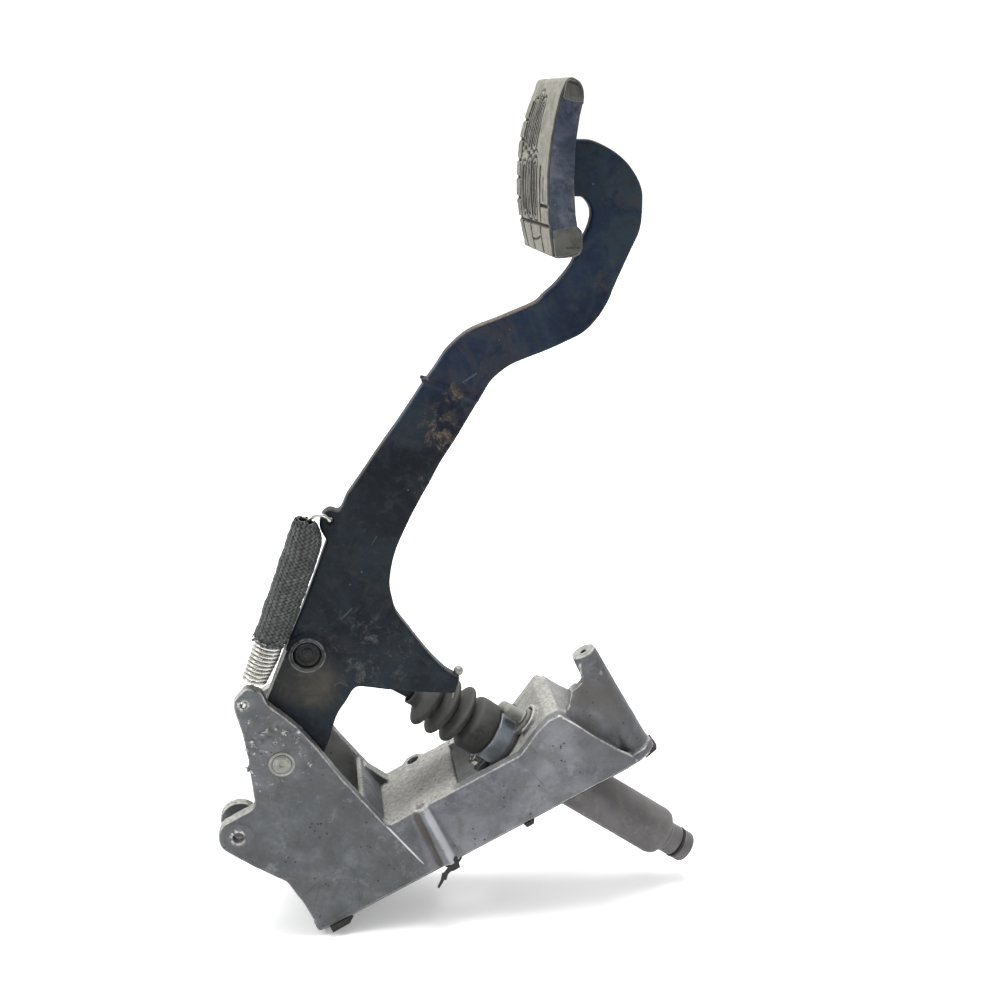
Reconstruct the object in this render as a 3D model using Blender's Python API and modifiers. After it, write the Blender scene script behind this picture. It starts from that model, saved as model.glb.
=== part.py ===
"""Hanging clutch pedal assembly of a heavy truck.

A steel pedal lever swings between the cheeks of a cast bracket and pushes the
rod of a hydraulic master cylinder that passes through the bracket.

World frame: X forward (away from the driver), Y across, Z up, metres.
The origin is on the underside of the bracket's floor web, where the bracket is
bolted down.  The bracket's own frame is pitched by PITCH about Y: its local X
runs along the base and its local Z is the base normal.
"""

import math

import bmesh
import bpy
from mathutils import Matrix, Vector

MM = 0.001

# ---------------------------------------------------------------- dimensions
PITCH = 27.0          # rise of the base plane towards +X, degrees
WIDTH = 70.0          # over the cheeks
WALL = 7.0            # cheek and side wall thickness
DECK_W = 44.0         # deck height above the base plane
FLOOR_T = 7.0
GAP = 0.3             # clearance left where two pieces touch

PIVOT = (4.0, 116.0)              # pedal pivot in the bracket frame (u, w)
PIN_R = 6.0                       # pedal pivot pin radius
LEVER_Y0, LEVER_Y1 = -27.0, -17.0  # the lever plate
ROD_Y = 4.0                       # plane of push rod and cylinder
ROD_PIN = (-31.0, 172.3)          # push rod pin in world (x, z)

CYL_A0 = (98.2, 91.9)             # point t = 0 on the cylinder axis (u, w)
CYL_DIP = 62.0                    # dip of the cylinder axis below the base line
BALL_T = 50.0                     # centre of the push rod's ball end, along the axis
BODY_R = 16.5
BORE_R = 9.5
EAR_X, EAR_Y = 22.5, 9.0           # the cylinder flange's two ears, either side of its axis
EARS = (("a", -EAR_X, -EAR_Y), ("b", EAR_X, EAR_Y))

HOOK_LOW = (-70.5, -31.5, 145.0)  # spring hole in the near cheek lobe, world
HOOK_TOP = (-14.5, -22.0, 257.0)  # spring hole in the lever lug, world
COIL_LOW = (-63.8, -31.0, 158.6)
COIL_TOP = (-29.4, -31.0, 253.5)
COIL_R = 6.8
SPRING_WIRE_R = 1.1
COIL_TURNS = 38

PAD_Y0, PAD_Y1 = -57.0, 15.0

# ---------------------------------------------------------------- start clean
for ob in list(bpy.data.objects):
    bpy.data.objects.remove(ob, do_unlink=True)

parts = bpy.data.collections.new("clutch_pedal")
cutters = bpy.data.collections.new("cutters")
bpy.context.scene.collection.children.link(parts)
bpy.context.scene.collection.children.link(cutters)

MATS = {}


def material(name, color, rough, metal):
    if name not in MATS:
        m = bpy.data.materials.new(name)
        m.use_nodes = True
        b = m.node_tree.nodes["Principled BSDF"]
        b.inputs["Base Color"].default_value = (*color, 1.0)
        b.inputs["Roughness"].default_value = rough
        b.inputs["Metallic"].default_value = metal
        MATS[name] = m
    return MATS[name]


CAST = material("cast_alloy", (0.17, 0.18, 0.19), 0.62, 0.6)
PAINT = material("black_paint", (0.012, 0.016, 0.022), 0.42, 0.0)
RUBBER = material("black_rubber", (0.03, 0.03, 0.028), 0.8, 0.0)
PAD_GREY = material("dusty_rubber", (0.35, 0.33, 0.29), 0.85, 0.0)
STEEL = material("plain_steel", (0.30, 0.30, 0.29), 0.45, 0.9)
ZINC = material("zinc_plate", (0.45, 0.45, 0.42), 0.35, 0.9)
CYL_BODY = material("cylinder_body", (0.10, 0.10, 0.115), 0.5, 0.5)
SPRING = material("spring_steel", (0.5, 0.49, 0.45), 0.35, 0.9)
BRAID = material("braided_sleeve", (0.02, 0.025, 0.022), 0.7, 0.0)
BRONZE = material("bush_bronze", (0.35, 0.22, 0.10), 0.5, 0.8)
PLASTIC = material("port_plastic", (0.12, 0.12, 0.10), 0.6, 0.0)
PISTON_M = material("piston_alloy", (0.5, 0.5, 0.52), 0.3, 0.9)

# ---------------------------------------------------------------- frames


def empty(name, loc=(0, 0, 0), rot=(0, 0, 0), parent=None):
    e = bpy.data.objects.new(name, None)
    parts.objects.link(e)
    e.location = [c * MM for c in loc]
    e.rotation_euler = rot
    e.parent = parent
    return e


def base_to_world(u, w):
    b = math.radians(PITCH)
    return (u * math.cos(b) - w * math.sin(b), u * math.sin(b) + w * math.cos(b))


def cyl_point(t, n=0.0):
    """Bracket frame (u, w) of the point t along and n across the cylinder axis."""
    a = math.radians(CYL_DIP)
    return (
        CYL_A0[0] + t * math.cos(a) + n * math.sin(a),
        CYL_A0[1] - t * math.sin(a) + n * math.cos(a),
    )


PIVOT_XZ = base_to_world(*PIVOT)
base = empty("bracket_frame", rot=(0, -math.radians(PITCH), 0))
pedal = empty("pedal_frame", (PIVOT_XZ[0], 0, PIVOT_XZ[1]))
cyl = empty(
    "cylinder_frame",
    (CYL_A0[0], ROD_Y, CYL_A0[1]),
    (0, math.radians(90 + CYL_DIP), 0),
    base,
)
BALL_XZ = base_to_world(*cyl_point(BALL_T))
ROD_LEN = math.hypot(BALL_XZ[0] - ROD_PIN[0], BALL_XZ[1] - ROD_PIN[1])
ROD_TURN = math.atan2(BALL_XZ[0] - ROD_PIN[0], BALL_XZ[1] - ROD_PIN[1])
rod = empty("pushrod_frame", (ROD_PIN[0], ROD_Y, ROD_PIN[1]), (0, ROD_TURN, 0))

# ---------------------------------------------------------------- mesh helpers


def finish(ob, mat, parent, cutter=False, smooth=True):
    (cutters if cutter else parts).objects.link(ob)
    if parent is not None:
        ob.parent = parent
    if mat is not None:
        ob.data.materials.clear()
        ob.data.materials.append(mat)
    if cutter:
        ob.hide_render = True
        ob.display_type = "WIRE"
    elif smooth:
        ob.data.shade_smooth()
        ob.data.set_sharp_from_angle(angle=math.radians(35))
    return ob


def arc(cx, cz, r, a0, a1, n):
    return [
        (
            cx + r * math.cos(math.radians(a0 + (a1 - a0) * i / n)),
            cz + r * math.sin(math.radians(a0 + (a1 - a0) * i / n)),
        )
        for i in range(n + 1)
    ]


def bow(p, q, sag, n):
    """Points on a shallow arc from p to q that bulges by sag to the left of its way."""
    length = math.hypot(q[0] - p[0], q[1] - p[1])
    nx, nz = -(q[1] - p[1]) / length, (q[0] - p[0]) / length
    out = []
    for i in range(n + 1):
        s = i / n
        h = sag * (1 - (2 * s - 1) ** 2)
        out.append((p[0] + (q[0] - p[0]) * s + nx * h, p[1] + (q[1] - p[1]) * s + nz * h))
    return out


def rounded(points, radius, n=2):
    """The closed outline with every corner over 20 degrees rounded."""
    out = []
    count = len(points)
    for i, p in enumerate(points):
        a, b = Vector(points[i - 1]), Vector(points[(i + 1) % count])
        p = Vector(p)
        da, db = (a - p), (b - p)
        la, lb = da.length, db.length
        da.normalize()
        db.normalize()
        turn = math.pi - da.angle(db)
        if turn < math.radians(20):
            out.append(tuple(p))
            continue
        d = min(radius * math.tan(turn / 2), 0.45 * la, 0.45 * lb)
        for k in range(n + 1):
            s = k / n
            q = (1 - s) ** 2 * (p + da * d) + 2 * s * (1 - s) * p + s**2 * (p + db * d)
            out.append(tuple(q))
    return out


def plate_mesh(name, outline, y0, y1, origin=(0.0, 0.0)):
    """Flat outline in (x, z), mm, given thickness from y0 to y1; origin is taken off."""
    cu = bpy.data.curves.new(name + "_outline", "CURVE")
    cu.dimensions = "2D"
    cu.fill_mode = "BOTH"
    cu.extrude = (y1 - y0) / 2 * MM
    sp = cu.splines.new("POLY")
    sp.points.add(len(outline) - 1)
    for pt, (x, z) in zip(sp.points, outline):
        pt.co = ((x - origin[0]) * MM, (z - origin[1]) * MM, 0, 1)
    sp.use_cyclic_u = True
    ob = bpy.data.objects.new(name + "_outline", cu)
    bpy.context.scene.collection.objects.link(ob)
    ob.rotation_euler = (math.radians(90), 0, 0)
    ob.location = (0, (y0 + y1) / 2 * MM, 0)
    bpy.context.view_layer.update()
    dg = bpy.context.evaluated_depsgraph_get()
    me = bpy.data.meshes.new_from_object(ob.evaluated_get(dg))
    me.transform(ob.matrix_world)
    bm = bmesh.new()
    bm.from_mesh(me)
    bmesh.ops.remove_doubles(bm, verts=bm.verts, dist=0.00001)
    bmesh.ops.recalc_face_normals(bm, faces=bm.faces)
    bm.to_mesh(me)
    bm.free()
    me.name = name
    bpy.data.objects.remove(ob, do_unlink=True)
    return me


def plate(name, outline, y0, y1, mat=None, parent=None, origin=(0.0, 0.0), cutter=False):
    me = plate_mesh(name, outline, y0, y1, origin)
    return finish(bpy.data.objects.new(name, me), mat, parent, cutter)


def cyl_y(name, x, z, r, y0, y1, mat=None, parent=None, segs=24, cutter=True, r2=None):
    """Cylinder or cone with its axis along Y; r2 is the radius at y1."""
    bm = bmesh.new()
    bmesh.ops.create_cone(
        bm, cap_ends=True, segments=segs,
        radius1=r * MM, radius2=(r if r2 is None else r2) * MM, depth=(y1 - y0) * MM,
    )
    bmesh.ops.transform(
        bm, verts=bm.verts,
        matrix=Matrix.Translation((x * MM, (y0 + y1) / 2 * MM, z * MM))
        @ Matrix.Rotation(math.radians(-90), 4, "X"),
    )
    me = bpy.data.meshes.new(name)
    bm.to_mesh(me)
    bm.free()
    return finish(bpy.data.objects.new(name, me), mat, parent, cutter)


def cyl_z(name, x, y, r, z0, z1, mat=None, parent=None, segs=24, cutter=True, r2=None):
    """Cylinder or cone with its axis along local Z; r2 is the radius at z1."""
    bm = bmesh.new()
    bmesh.ops.create_cone(
        bm, cap_ends=True, segments=segs,
        radius1=r * MM, radius2=(r if r2 is None else r2) * MM, depth=(z1 - z0) * MM,
    )
    bmesh.ops.translate(bm, verts=bm.verts, vec=(x * MM, y * MM, (z0 + z1) / 2 * MM))
    me = bpy.data.meshes.new(name)
    bm.to_mesh(me)
    bm.free()
    return finish(bpy.data.objects.new(name, me), mat, parent, cutter)


def block(name, lo, hi, mat=None, parent=None, cutter=True, bevel=0.0):
    bm = bmesh.new()
    bmesh.ops.create_cube(bm, size=1.0)
    for v in bm.verts:
        v.co = Vector([(lo[i] + hi[i]) / 2 + v.co[i] * (hi[i] - lo[i]) for i in range(3)]) * MM
    if bevel:
        bmesh.ops.bevel(
            bm, geom=list(bm.edges), offset=bevel * MM, segments=2,
            profile=0.5, affect="EDGES",
        )
    me = bpy.data.meshes.new(name)
    bm.to_mesh(me)
    bm.free()
    return finish(bpy.data.objects.new(name, me), mat, parent, cutter)


def turned(name, profile, mat=None, parent=None, steps=24, closed=False, cutter=False):
    """Profile of (radius, height) in mm, run down its outer side, turned about local Z."""
    me = bpy.data.meshes.new(name)
    verts = [(max(r, 0) * MM, 0, z * MM) for r, z in profile]
    edges = [(i, i + 1) for i in range(len(verts) - 1)]
    if closed:
        edges.append((len(verts) - 1, 0))
    me.from_pydata(verts, edges, [])
    ob = finish(bpy.data.objects.new(name, me), mat, parent, cutter, smooth=False)
    sc = ob.modifiers.new("turn", "SCREW")
    sc.angle = math.tau
    sc.steps = sc.render_steps = steps
    sc.axis = "Z"
    sc.use_merge_vertices = True
    sc.merge_threshold = 0.00001
    sc.use_smooth_shade = True
    return ob


def baked(ob):
    """Turns the object's modifiers into its mesh."""
    bpy.context.view_layer.update()
    dg = bpy.context.evaluated_depsgraph_get()
    me = bpy.data.meshes.new_from_object(ob.evaluated_get(dg))
    ob.modifiers.clear()
    ob.data = me
    return ob


def boolean(ob, tool, op):
    if tool.name not in cutters.objects:
        for c in list(tool.users_collection):
            c.objects.unlink(tool)
        cutters.objects.link(tool)
        tool.hide_render = True
        tool.display_type = "WIRE"
    m = ob.modifiers.new(op.lower(), "BOOLEAN")
    m.operation = op
    m.solver = "EXACT"
    m.object = tool
    return ob


def fuse(ob, *tools):
    for t in tools:
        boolean(ob, t, "UNION")
    return ob


def cut(ob, *tools):
    for t in tools:
        boolean(ob, t, "DIFFERENCE")
    return ob


def wire(name, points, radius, mat, parent=None, resolution=0, cutter=False):
    """A bent wire along the points, with closed ends, as a welded mesh."""
    cu = bpy.data.curves.new(name + "_path", "CURVE")
    cu.dimensions = "3D"
    cu.bevel_depth = radius * MM
    cu.bevel_resolution = resolution
    cu.use_fill_caps = True
    sp = cu.splines.new("POLY")
    sp.points.add(len(points) - 1)
    for pt, p in zip(sp.points, points):
        pt.co = (p[0] * MM, p[1] * MM, p[2] * MM, 1)
    ob = bpy.data.objects.new(name + "_path", cu)
    bpy.context.scene.collection.objects.link(ob)
    bpy.context.view_layer.update()
    dg = bpy.context.evaluated_depsgraph_get()
    me = bpy.data.meshes.new_from_object(ob.evaluated_get(dg))
    bm = bmesh.new()
    bm.from_mesh(me)
    bmesh.ops.remove_doubles(bm, verts=bm.verts, dist=0.00002)
    bmesh.ops.recalc_face_normals(bm, faces=bm.faces)
    bm.to_mesh(me)
    bm.free()
    me.name = name
    bpy.data.objects.remove(ob, do_unlink=True)
    return finish(bpy.data.objects.new(name, me), mat, parent, cutter)


# ================================================================ the bracket
NEAR_COL = -31.5      # across, the middle of the near bolt column
# Outlines are in the bracket frame, (u, w) in mm.
H = WIDTH / 2
IN = H - WALL
SIDE_RIGHT = [
    (190, 0.5), (190.5, 16), (184, 27), (169, 56), (160, 56), (149.5, 52), (134.5, DECK_W),
    (38.5, DECK_W), (35.5, 62), (30.5, 87), (27.5, 111), (24, 131), (20.5, 141), (15.5, 154),
    (16.5, 163), (10, 170.5), (-1.5, 166), (-4, 160), (-6.5, 147), (-11.5, 131), (-18, 115),
]
NEAR_SIDE = rounded(
    [(-33, 0.5)] + SIDE_RIGHT + [(-25, 98)]
    + arc(-44, 85.3, 12.5, 80, 200, 6)
    + [(-46.5, 63), (-34, 42.5), (-32.5, 24)],
    4,
)
FAR_SIDE = rounded(
    [(-33, 0.5), (190, 0.5), (190.5, 16), (184, 27), (180.3, 33.8), (164.4, 57.5), (145.8, 48.1), (137.5, DECK_W)]
    + SIDE_RIGHT[7:12] + [(19, 137.5), (10, 141), (-1, 141), (-8.5, 137.5)] + SIDE_RIGHT[19:] + [(-26, 95), (-33, 60)],
    2.5,
)

bracket = plate("pedal_bracket", NEAR_SIDE, -H, -IN, CAST, base)
far_side = plate("far_side", FAR_SIDE, IN, H, None, base, cutter=True)
DECK = rounded(
    [
        (-32.7, 0.7), (22, 0.7), (28, 27), (33, 34), (42, 37.5), (90, 37.5), (90, DECK_W - 0.3),
        (40, DECK_W - 0.3), (26, 39.5), (20, 30), (16, FLOOR_T), (-26, FLOOR_T), (-26, 46), (-32.7, 46),
    ],
    3,
)
deck = plate("deck_web", DECK, -IN - 3, IN + 3, None, base, cutter=True)
# low wall that rises from the deck's end between the cheeks, along their front edges
end_wall = plate(
    "end_wall",
    rounded([(30.5, 36), (31.5, 50), (30.2, 64), (31.5, 66.5), (34.2, 66.5), (35.3, 62), (38.1, 43.8), (40, 38)], 1.2),
    -IN - 3, IN + 3, None, base, cutter=True,
)
HUMP = rounded(
    [
        (197, 0.9), (197, 7), (191, 7), (183.7, 26.7), (168.7, 55.7), (160.3, 55.7), cyl_point(61.8, 27.0),
        cyl_point(61.8, -31.5), cyl_point(69.8, -31.5),
        (153, 43.5), (162, 48.5), (165, 48.5), (177, 24), (184.5, 0.9),
    ],
    2,
)
hump = plate("hump_web", HUMP, -IN - 3, IN + 3, None, base, cutter=True)
boss = cyl_z("boss_tube", 200.4, -20, 11, 0.3, 80.5, None, base, 24, True, 8)
boss_web = plate(
    "boss_web",
    [
        (166, 30), (168.2, 51.7), (172.7, 52.2), (178, 57.1), (181.8, 63.5), (186.1, 63.4), (191.5, 65.7),
        (192.6, 72.2), (194.1, 76.8), (200, 78), (200, 2), (176, 2),
    ],
    -28.3, -22, None, base, cutter=True,
)
# slanting wall from the far side to the boss, built flat and turned in plan
slant = block("slant_wall", (-27, -3, 1.5), (27, 3, 38), None, base)
slant.location = (191 * MM, 8 * MM, 0)
slant.rotation_euler = (0, 0, math.radians(108))
rib_mid = block("rib_mid", (60.5, -IN - 3, 1.2), (65.5, IN + 3, 40), None, base)
gusset = plate("far_gusset", [(28, 38), (33, 62), (36, 62), (46, 42)], 21, 30, None, base, cutter=True)
ear_b = plate(
    "second_ear",
    rounded([(-31, 60)] + arc(-44, 85.3, 12.5, 20, 200, 8) + [(-46.5, 63), (-33.5, 40), (-28, 40)], 3),
    -14, -7, None, base, cutter=True,
)
pin_boss = cyl_y("near_pin_boss", PIVOT[0], PIVOT[1], 20, -H - 1.2, -IN - 2, None, base, 36, True)
far_boss = cyl_y("far_pin_boss", PIVOT[0], PIVOT[1], 20, IN + 2, H + 1.2, None, base, 36, True)
col_n = cyl_z("near_bolt_column", 63, NEAR_COL, 7.4, 0.8, DECK_W + 0.3, None, base, 20, True, 6.0)
col_f = cyl_z("far_bolt_column", 63, 33, 7.5, 0.8, DECK_W + 0.3, None, base, 20)


def slab(name, outline, w0, w1, parent):
    """Flat outline in (u, y) with its thickness along local Z."""
    me = plate_mesh(name, outline, w0, w1)
    me.transform(Matrix.Rotation(math.radians(-90), 4, "X"))
    me.transform(Matrix.Scale(-1, 4, Vector((0, 0, 1))))
    bm = bmesh.new()
    bm.from_mesh(me)
    bmesh.ops.recalc_face_normals(bm, faces=bm.faces)
    bm.to_mesh(me)
    bm.free()
    return finish(bpy.data.objects.new(name, me), None, parent, True)


FLANGE = rounded(
    [(-35, -35.6), (192, -35.6), (206, -33), (212.5, -24), (211, -10), (196, 36.5), (190, 37), (-35, 37)], 4
)
flange = slab("base_flange", FLANGE, 0, 6, base)
flange_hole = block("flange_hole", (-27, -IN, -5), (183.5, IN, 12), None, base)
cut(flange, flange_hole)
baked(flange)
# machined seat in the middle of the floor web, level with the flange's underside
seat = cyl_z("floor_seat", 0, 0, 9, 0, 1.6, None, base, 24)

fuse(bracket, far_side, deck, end_wall, hump, boss, boss_web, slant, rib_mid, gusset, ear_b, pin_boss,
     far_boss, col_n, col_f, flange, seat)
cut(
    bracket,
    cyl_z("cylinder_hole", 0, 0, BODY_R + 0.5, 40, 140, None, cyl, 32),
    cyl_y("pivot_hole", PIVOT[0], PIVOT[1], PIN_R + 0.3, -60, 60, None, base, 24),
    cyl_y("ear_hole", -44, 85.3, 4, -60, 0, None, base, 20),
    cyl_y("hook_hole", 3.0, 161.2, 2.6, -60, -20, None, base, 16),
    cyl_z("boss_hole", 200.4, -20, 2.1, 40, 100, None, base, 14),
    cyl_z("near_bolt_hole", 63, NEAR_COL, 4.2, -10, 60, None, base, 16),
    cyl_z("far_bolt_hole", 63, 33, 4.2, -10, 60, None, base, 16),
    cyl_z("inlet_pocket", -18.6, 2, 7.6, 50, 60.8, None, cyl, 24),
    cyl_z("flange_bolt_hole_a", -EAR_X, -EAR_Y, 3.2, 50, 75, None, cyl, 14),
    cyl_z("flange_bolt_hole_b", EAR_X, EAR_Y, 3.2, 50, 75, None, cyl, 14),
)

# seal strip under the flange, with the torn bits that show past the edge
SEAL = rounded(
    [(-34, -32), (190, -32), (202, -30), (209.5, -21.5), (209.5, -10), (195.5, 35.5), (190, 36), (-34, 36)], 4
)
seal = slab("base_gasket", SEAL, -2.1, -0.3, base)
seal_hole = block("seal_hole", (-28, -28.2, -5), (186, 31, 12), None, base)
cut(seal, seal_hole)
baked(seal)
cutters.objects.unlink(seal)
parts.objects.link(seal)
seal.hide_render = False
seal.display_type = "TEXTURED"
seal.data.materials.append(RUBBER)
fuse(
    seal,
    slab("torn_bit_a", [(-26, -37.4), (-14, -36.8), (-11, -31), (-27, -31)], -4.0, -0.6, base),
    slab("torn_bit_b", [(115.5, -36.6), (120.5, -36.4), (122, -31), (114, -31)], -3.0, -0.6, base),
    slab("torn_bit_c", [(204, -29), (212.6, -25.4), (214, -20), (213.2, -8), (208, -8), (205, -20)], -3.2, -0.6, base),
    block("torn_tail", (62.5, -40.6, -3.0), (66, -31, -0.7), None, base),
)
fuse(seal, cyl_z("seal_pad_a", 63, NEAR_COL, 6.4, -2.0, -0.4, None, base, 20),
     cyl_z("seal_pad_b", 63, 33, 7.2, -2.0, -0.4, None, base, 20))
tail = plate(
    "tail_strip",
    [
        (68, 3.6), (66.2, -3.2), (62, -3.4), (59.5, -2.8), (55.5, -4.2), (52, -6.9), (47.6, -9.7), (47.0, -8.6),
        (51.2, -5.4), (54.6, -2.2), (59, 0.0), (63.5, 3.0), (66.5, 5.0),
    ],
    -40.8, -39.2, None, base, cutter=True,
)
flag = plate("tail_flag", [(51.5, -4.6), (54.5, -1.2), (57.4, -3.4), (54.4, -6.6)], -41.0, -39.4, None, base, cutter=True)
fuse(seal, tail, flag)
cut(seal, cyl_z("seal_bolt_a", 63, NEAR_COL, 4.4, -10, 5, None, base, 16),
    cyl_z("seal_bolt_b", 63, 33, 4.4, -10, 5, None, base, 16))

# pivot pin, washer and clip
pin = turned(
    "pivot_pin",
    [(0, H + 4.4), (PIN_R - 0.6, H + 4.4), (PIN_R, H + 3.8), (PIN_R, H + 3.2), (PIN_R - 1, H + 3.2),
     (PIN_R - 1, H + 2.0), (PIN_R, H + 2.0), (PIN_R, -H - 3.0), (PIN_R - 0.8, -H - 3.8), (0, -H - 3.8)],
    STEEL, pedal, 24,
)
pin.rotation_euler = (math.radians(-90), 0, 0)
for nm, r0, r1, a, b in (
    ("pivot_pin_washer", PIN_R + 0.3, 8.2, -H - 2.9, -H - 1.5),
    ("pivot_pin_circlip", PIN_R - 0.7, 7.8, H + 2.2, H + 3.0),
):
    ring = turned(nm, [(r1, b), (r1, a), (r0, a), (r0, b)], ZINC, pedal, 24, closed=True)
    ring.rotation_euler = (math.radians(-90), 0, 0)

# ================================================================ the lever
# Outline in world (x, z).
LEVER = [
    (116.2, 477.5), (133, 477.5), (142, 476.5), (155, 470), (164, 462), (170.5, 450.5),
    (171.5, 439), (170.5, 427), (166, 416), (160, 403), (155, 391.5), (153, 386), (147, 376),
    (138, 367), (126, 361), (113, 355.5), (100.5, 351), (93, 347.5), (85.5, 342), (81.5, 337.5),
    (77.5, 331), (71, 320.5), (62, 305.5), (52.5, 291), (46.5, 280), (39, 267), (31.5, 252.5),
    (24.5, 236.5), (21.5, 224), (20.5, 214.5), (22, 204.5), (24.5, 196), (32.5, 184.5),
    (42.5, 170), (51.5, 159.5), (58, 154), (63, 152), (59.5, 141), (32, 144), (16.5, 146),
    (1, 149), (-4, 147), (-8.5, 139.5), (-13, 133), (-16.5, 124.5), (-19.5, 114.5),
]
LEVER += arc(PIVOT_XZ[0], PIVOT_XZ[1], 25, -5, -90, 5) + arc(PIVOT_XZ[0], PIVOT_XZ[1], 19, -110, -175, 4)
LEVER += [
    (-68, 121), (-58.5, 141), (-45.5, 174), (-30.5, 209), (-17, 244.5), (-20.5, 252),
    (-20.5, 257.5), (-18, 262), (-14, 264), (-8.5, 263), (-4, 272), (1, 279), (17, 302),
    (24.5, 312), (34.5, 326.5), (43, 339), (50, 348.5), (56, 357.5), (62.5, 364), (69, 369),
    (76.5, 372.5), (85, 375.5), (95.5, 379.5), (109, 385), (114, 389.5), (121, 395.5),
    (128.5, 404.5), (132, 410.5), (136.5, 421), (140, 428.5), (141.5, 435.5), (140.5, 440),
    (137, 444.5), (132.5, 445.5), (115.4, 445.5), (114.1, 462),
]
lever = plate("pedal_lever", LEVER, LEVER_Y0, LEVER_Y1, PAINT, pedal, PIVOT_XZ)
PX, PZ = ROD_PIN[0] - PIVOT_XZ[0], ROD_PIN[1] - PIVOT_XZ[1]
fuse(lever, cyl_y("pin_ring", PX, PZ, 12, LEVER_Y0 - 2.2, LEVER_Y0 + 1, None, pedal, 28))
STOP = ((62.5, 155.5), (58.2, 135.5))
sx, sz = (STOP[0][0] + STOP[1][0]) / 2, (STOP[0][1] + STOP[1][1]) / 2
stop_turn = math.atan2(STOP[0][0] - STOP[1][0], STOP[0][1] - STOP[1][1])
stop_frame = empty("stop_frame", (sx - PIVOT_XZ[0], -22, sz - PIVOT_XZ[1]), (0, stop_turn, 0), pedal)
cut(
    lever,
    cyl_y("hub_hole", 0, 0, 13.3, -60, 60, None, pedal, 28),
    cyl_y("pin_recess", PX, PZ, 8.8, -60, -22.8, None, pedal, 24),
    cyl_y("pin_hole", PX, PZ, 5.3, -60, 60, None, pedal, 20),
    cyl_y("lug_hole", HOOK_TOP[0] - PIVOT_XZ[0], HOOK_TOP[2] - PIVOT_XZ[1], 3.2, -60, 60, None, pedal, 16),
    cyl_z("stop_hole", 0, 0, 2.9, -40, 30, None, stop_frame, 14),
)
turned(
    "travel_stop_screw",
    [(0, 11.5), (1.6, 11.2), (2.5, 9.8), (2.6, 8.8), (2.6, -9.4), (1.8, -10.4), (0, -10.4)],
    ZINC, stop_frame, 14,
)
tube = turned("pivot_hub_tube", [(13, 27.2), (13, -27.2), (9.3, -27.2), (9.3, 27.2)], PAINT, pedal, 28, closed=True)
tube.rotation_euler = (math.radians(-90), 0, 0)
for nm, a, b in (("pivot_bush_near", -27.0, -12.0), ("pivot_bush_far", 12.0, 27.0)):
    bush = turned(nm, [(8.9, b), (8.9, a), (PIN_R + 0.35, a), (PIN_R + 0.35, b)], BRONZE, pedal, 24, closed=True)
    bush.rotation_euler = (math.radians(-90), 0, 0)

rod_pin = turned(
    "pushrod_pin",
    [(0, 12.6), (4.4, 12.6), (5, 12.0), (5, 11.9), (4.2, 11.9), (4.2, 10.9), (5, 10.9), (5, -23.1),
     (8.2, -23.1), (8.2, -26.2), (7.4, -27.0), (0, -27.0)],
    STEEL, pedal, 20,
)
rod_pin.location = (PX * MM, 0, PZ * MM)
rod_pin.rotation_euler = (math.radians(-90), 0, 0)
spacer = turned("pin_spacer", [(7.6, -2.3), (7.6, -16.7), (5.3, -16.7), (5.3, -2.3)], ZINC, pedal, 20, closed=True)
spacer.location = (PX * MM, 0, PZ * MM)
spacer.rotation_euler = (math.radians(-90), 0, 0)
clip = turned("pushrod_pin_clip", [(7.5, 11.75), (7.5, 11.05), (4.5, 11.05), (4.5, 11.75)], ZINC, pedal, 20, closed=True)
clip.location = (PX * MM, 0, PZ * MM)
clip.rotation_euler = (math.radians(-90), 0, 0)

# ================================================================ the pad
# Curved steel tray; the rubber slips over its face and hooks round both ends.
FACE_TOP, FACE_BOT = (117.0, 508.5), (110.5, 414.5)
face = bow(FACE_BOT, FACE_TOP, 8.5, 10)
tray_front = bow((118.6, 421.5), (121.6, 502.5), 9.0, 10)
TRAY = tray_front + [(127, 502), (126.3, 490), (125, 470), (125, 450), (126.5, 436), (128, 422)]
tray = plate("pad_plate", TRAY, PAD_Y0 + 0.5, PAD_Y1 - 0.5, PAINT, pedal, PIVOT_XZ)
pocket_front = bow((121.0, 426.5), (123.2, 497.5), 8.4, 8)
POCKET = pocket_front + [(140, 497.5), (140, 426.5)]
cut(tray, plate("tray_pocket", POCKET, PAD_Y0 + 3.5, PAD_Y1 - 3.5, None, pedal, PIVOT_XZ, cutter=True))
inner_face = bow((118.2, 421.0), (121.2, 503.0), 9.0, 10)
COVER = (
    face
    + [(121, 510.3), (127, 508.5), (130, 504), (130, 496.5), (127.6, 496.5), (127.4, 503)]
    + inner_face[::-1]
    + [(128.4, 421.3), (128.2, 428), (130, 428), (130.2, 418), (128, 415.3), (119, 413.5)]
)
cover = plate("pad_rubber", COVER, PAD_Y0, PAD_Y1, PAD_GREY, pedal, PIVOT_XZ)

# ================================================================ push rod
turned(
    "pushrod",
    [(0, ROD_LEN + 5.1)]
    + [(5.2 * math.sin(math.radians(a)), ROD_LEN + 5.2 * math.cos(math.radians(a))) for a in (25, 50, 75, 100, 125)]
    + [(3.9, ROD_LEN - 5.2), (5, ROD_LEN - 12), (5, 14.0), (4.4, 13.2), (0, 13.2)],
    STEEL, rod, 20,
)
eye = cyl_y("pushrod_eye", 0, 0, 11, -6, 6, ZINC, rod, 28, False)
shank = turned("eye_shank", [(7.6, 31), (7.6, 8.6), (0, 8.6), (0, 31)], None, rod, 20, closed=True, cutter=True)
baked(shank)
fuse(eye, shank)
cut(eye, cyl_y("eye_hole", 0, 0, 5.35, -20, 20, None, rod, 20),
    cyl_z("eye_thread", 0, 0, 5.3, 12.7, 50, None, rod, 20))
nut = cyl_z("pushrod_lock_nut", 0, 0, 9.2, 31.4, 37.4, ZINC, rod, 6, False)
cut(nut, cyl_z("nut_bore", 0, 0, 5.3, 20, 50, None, rod, 20))

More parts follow.
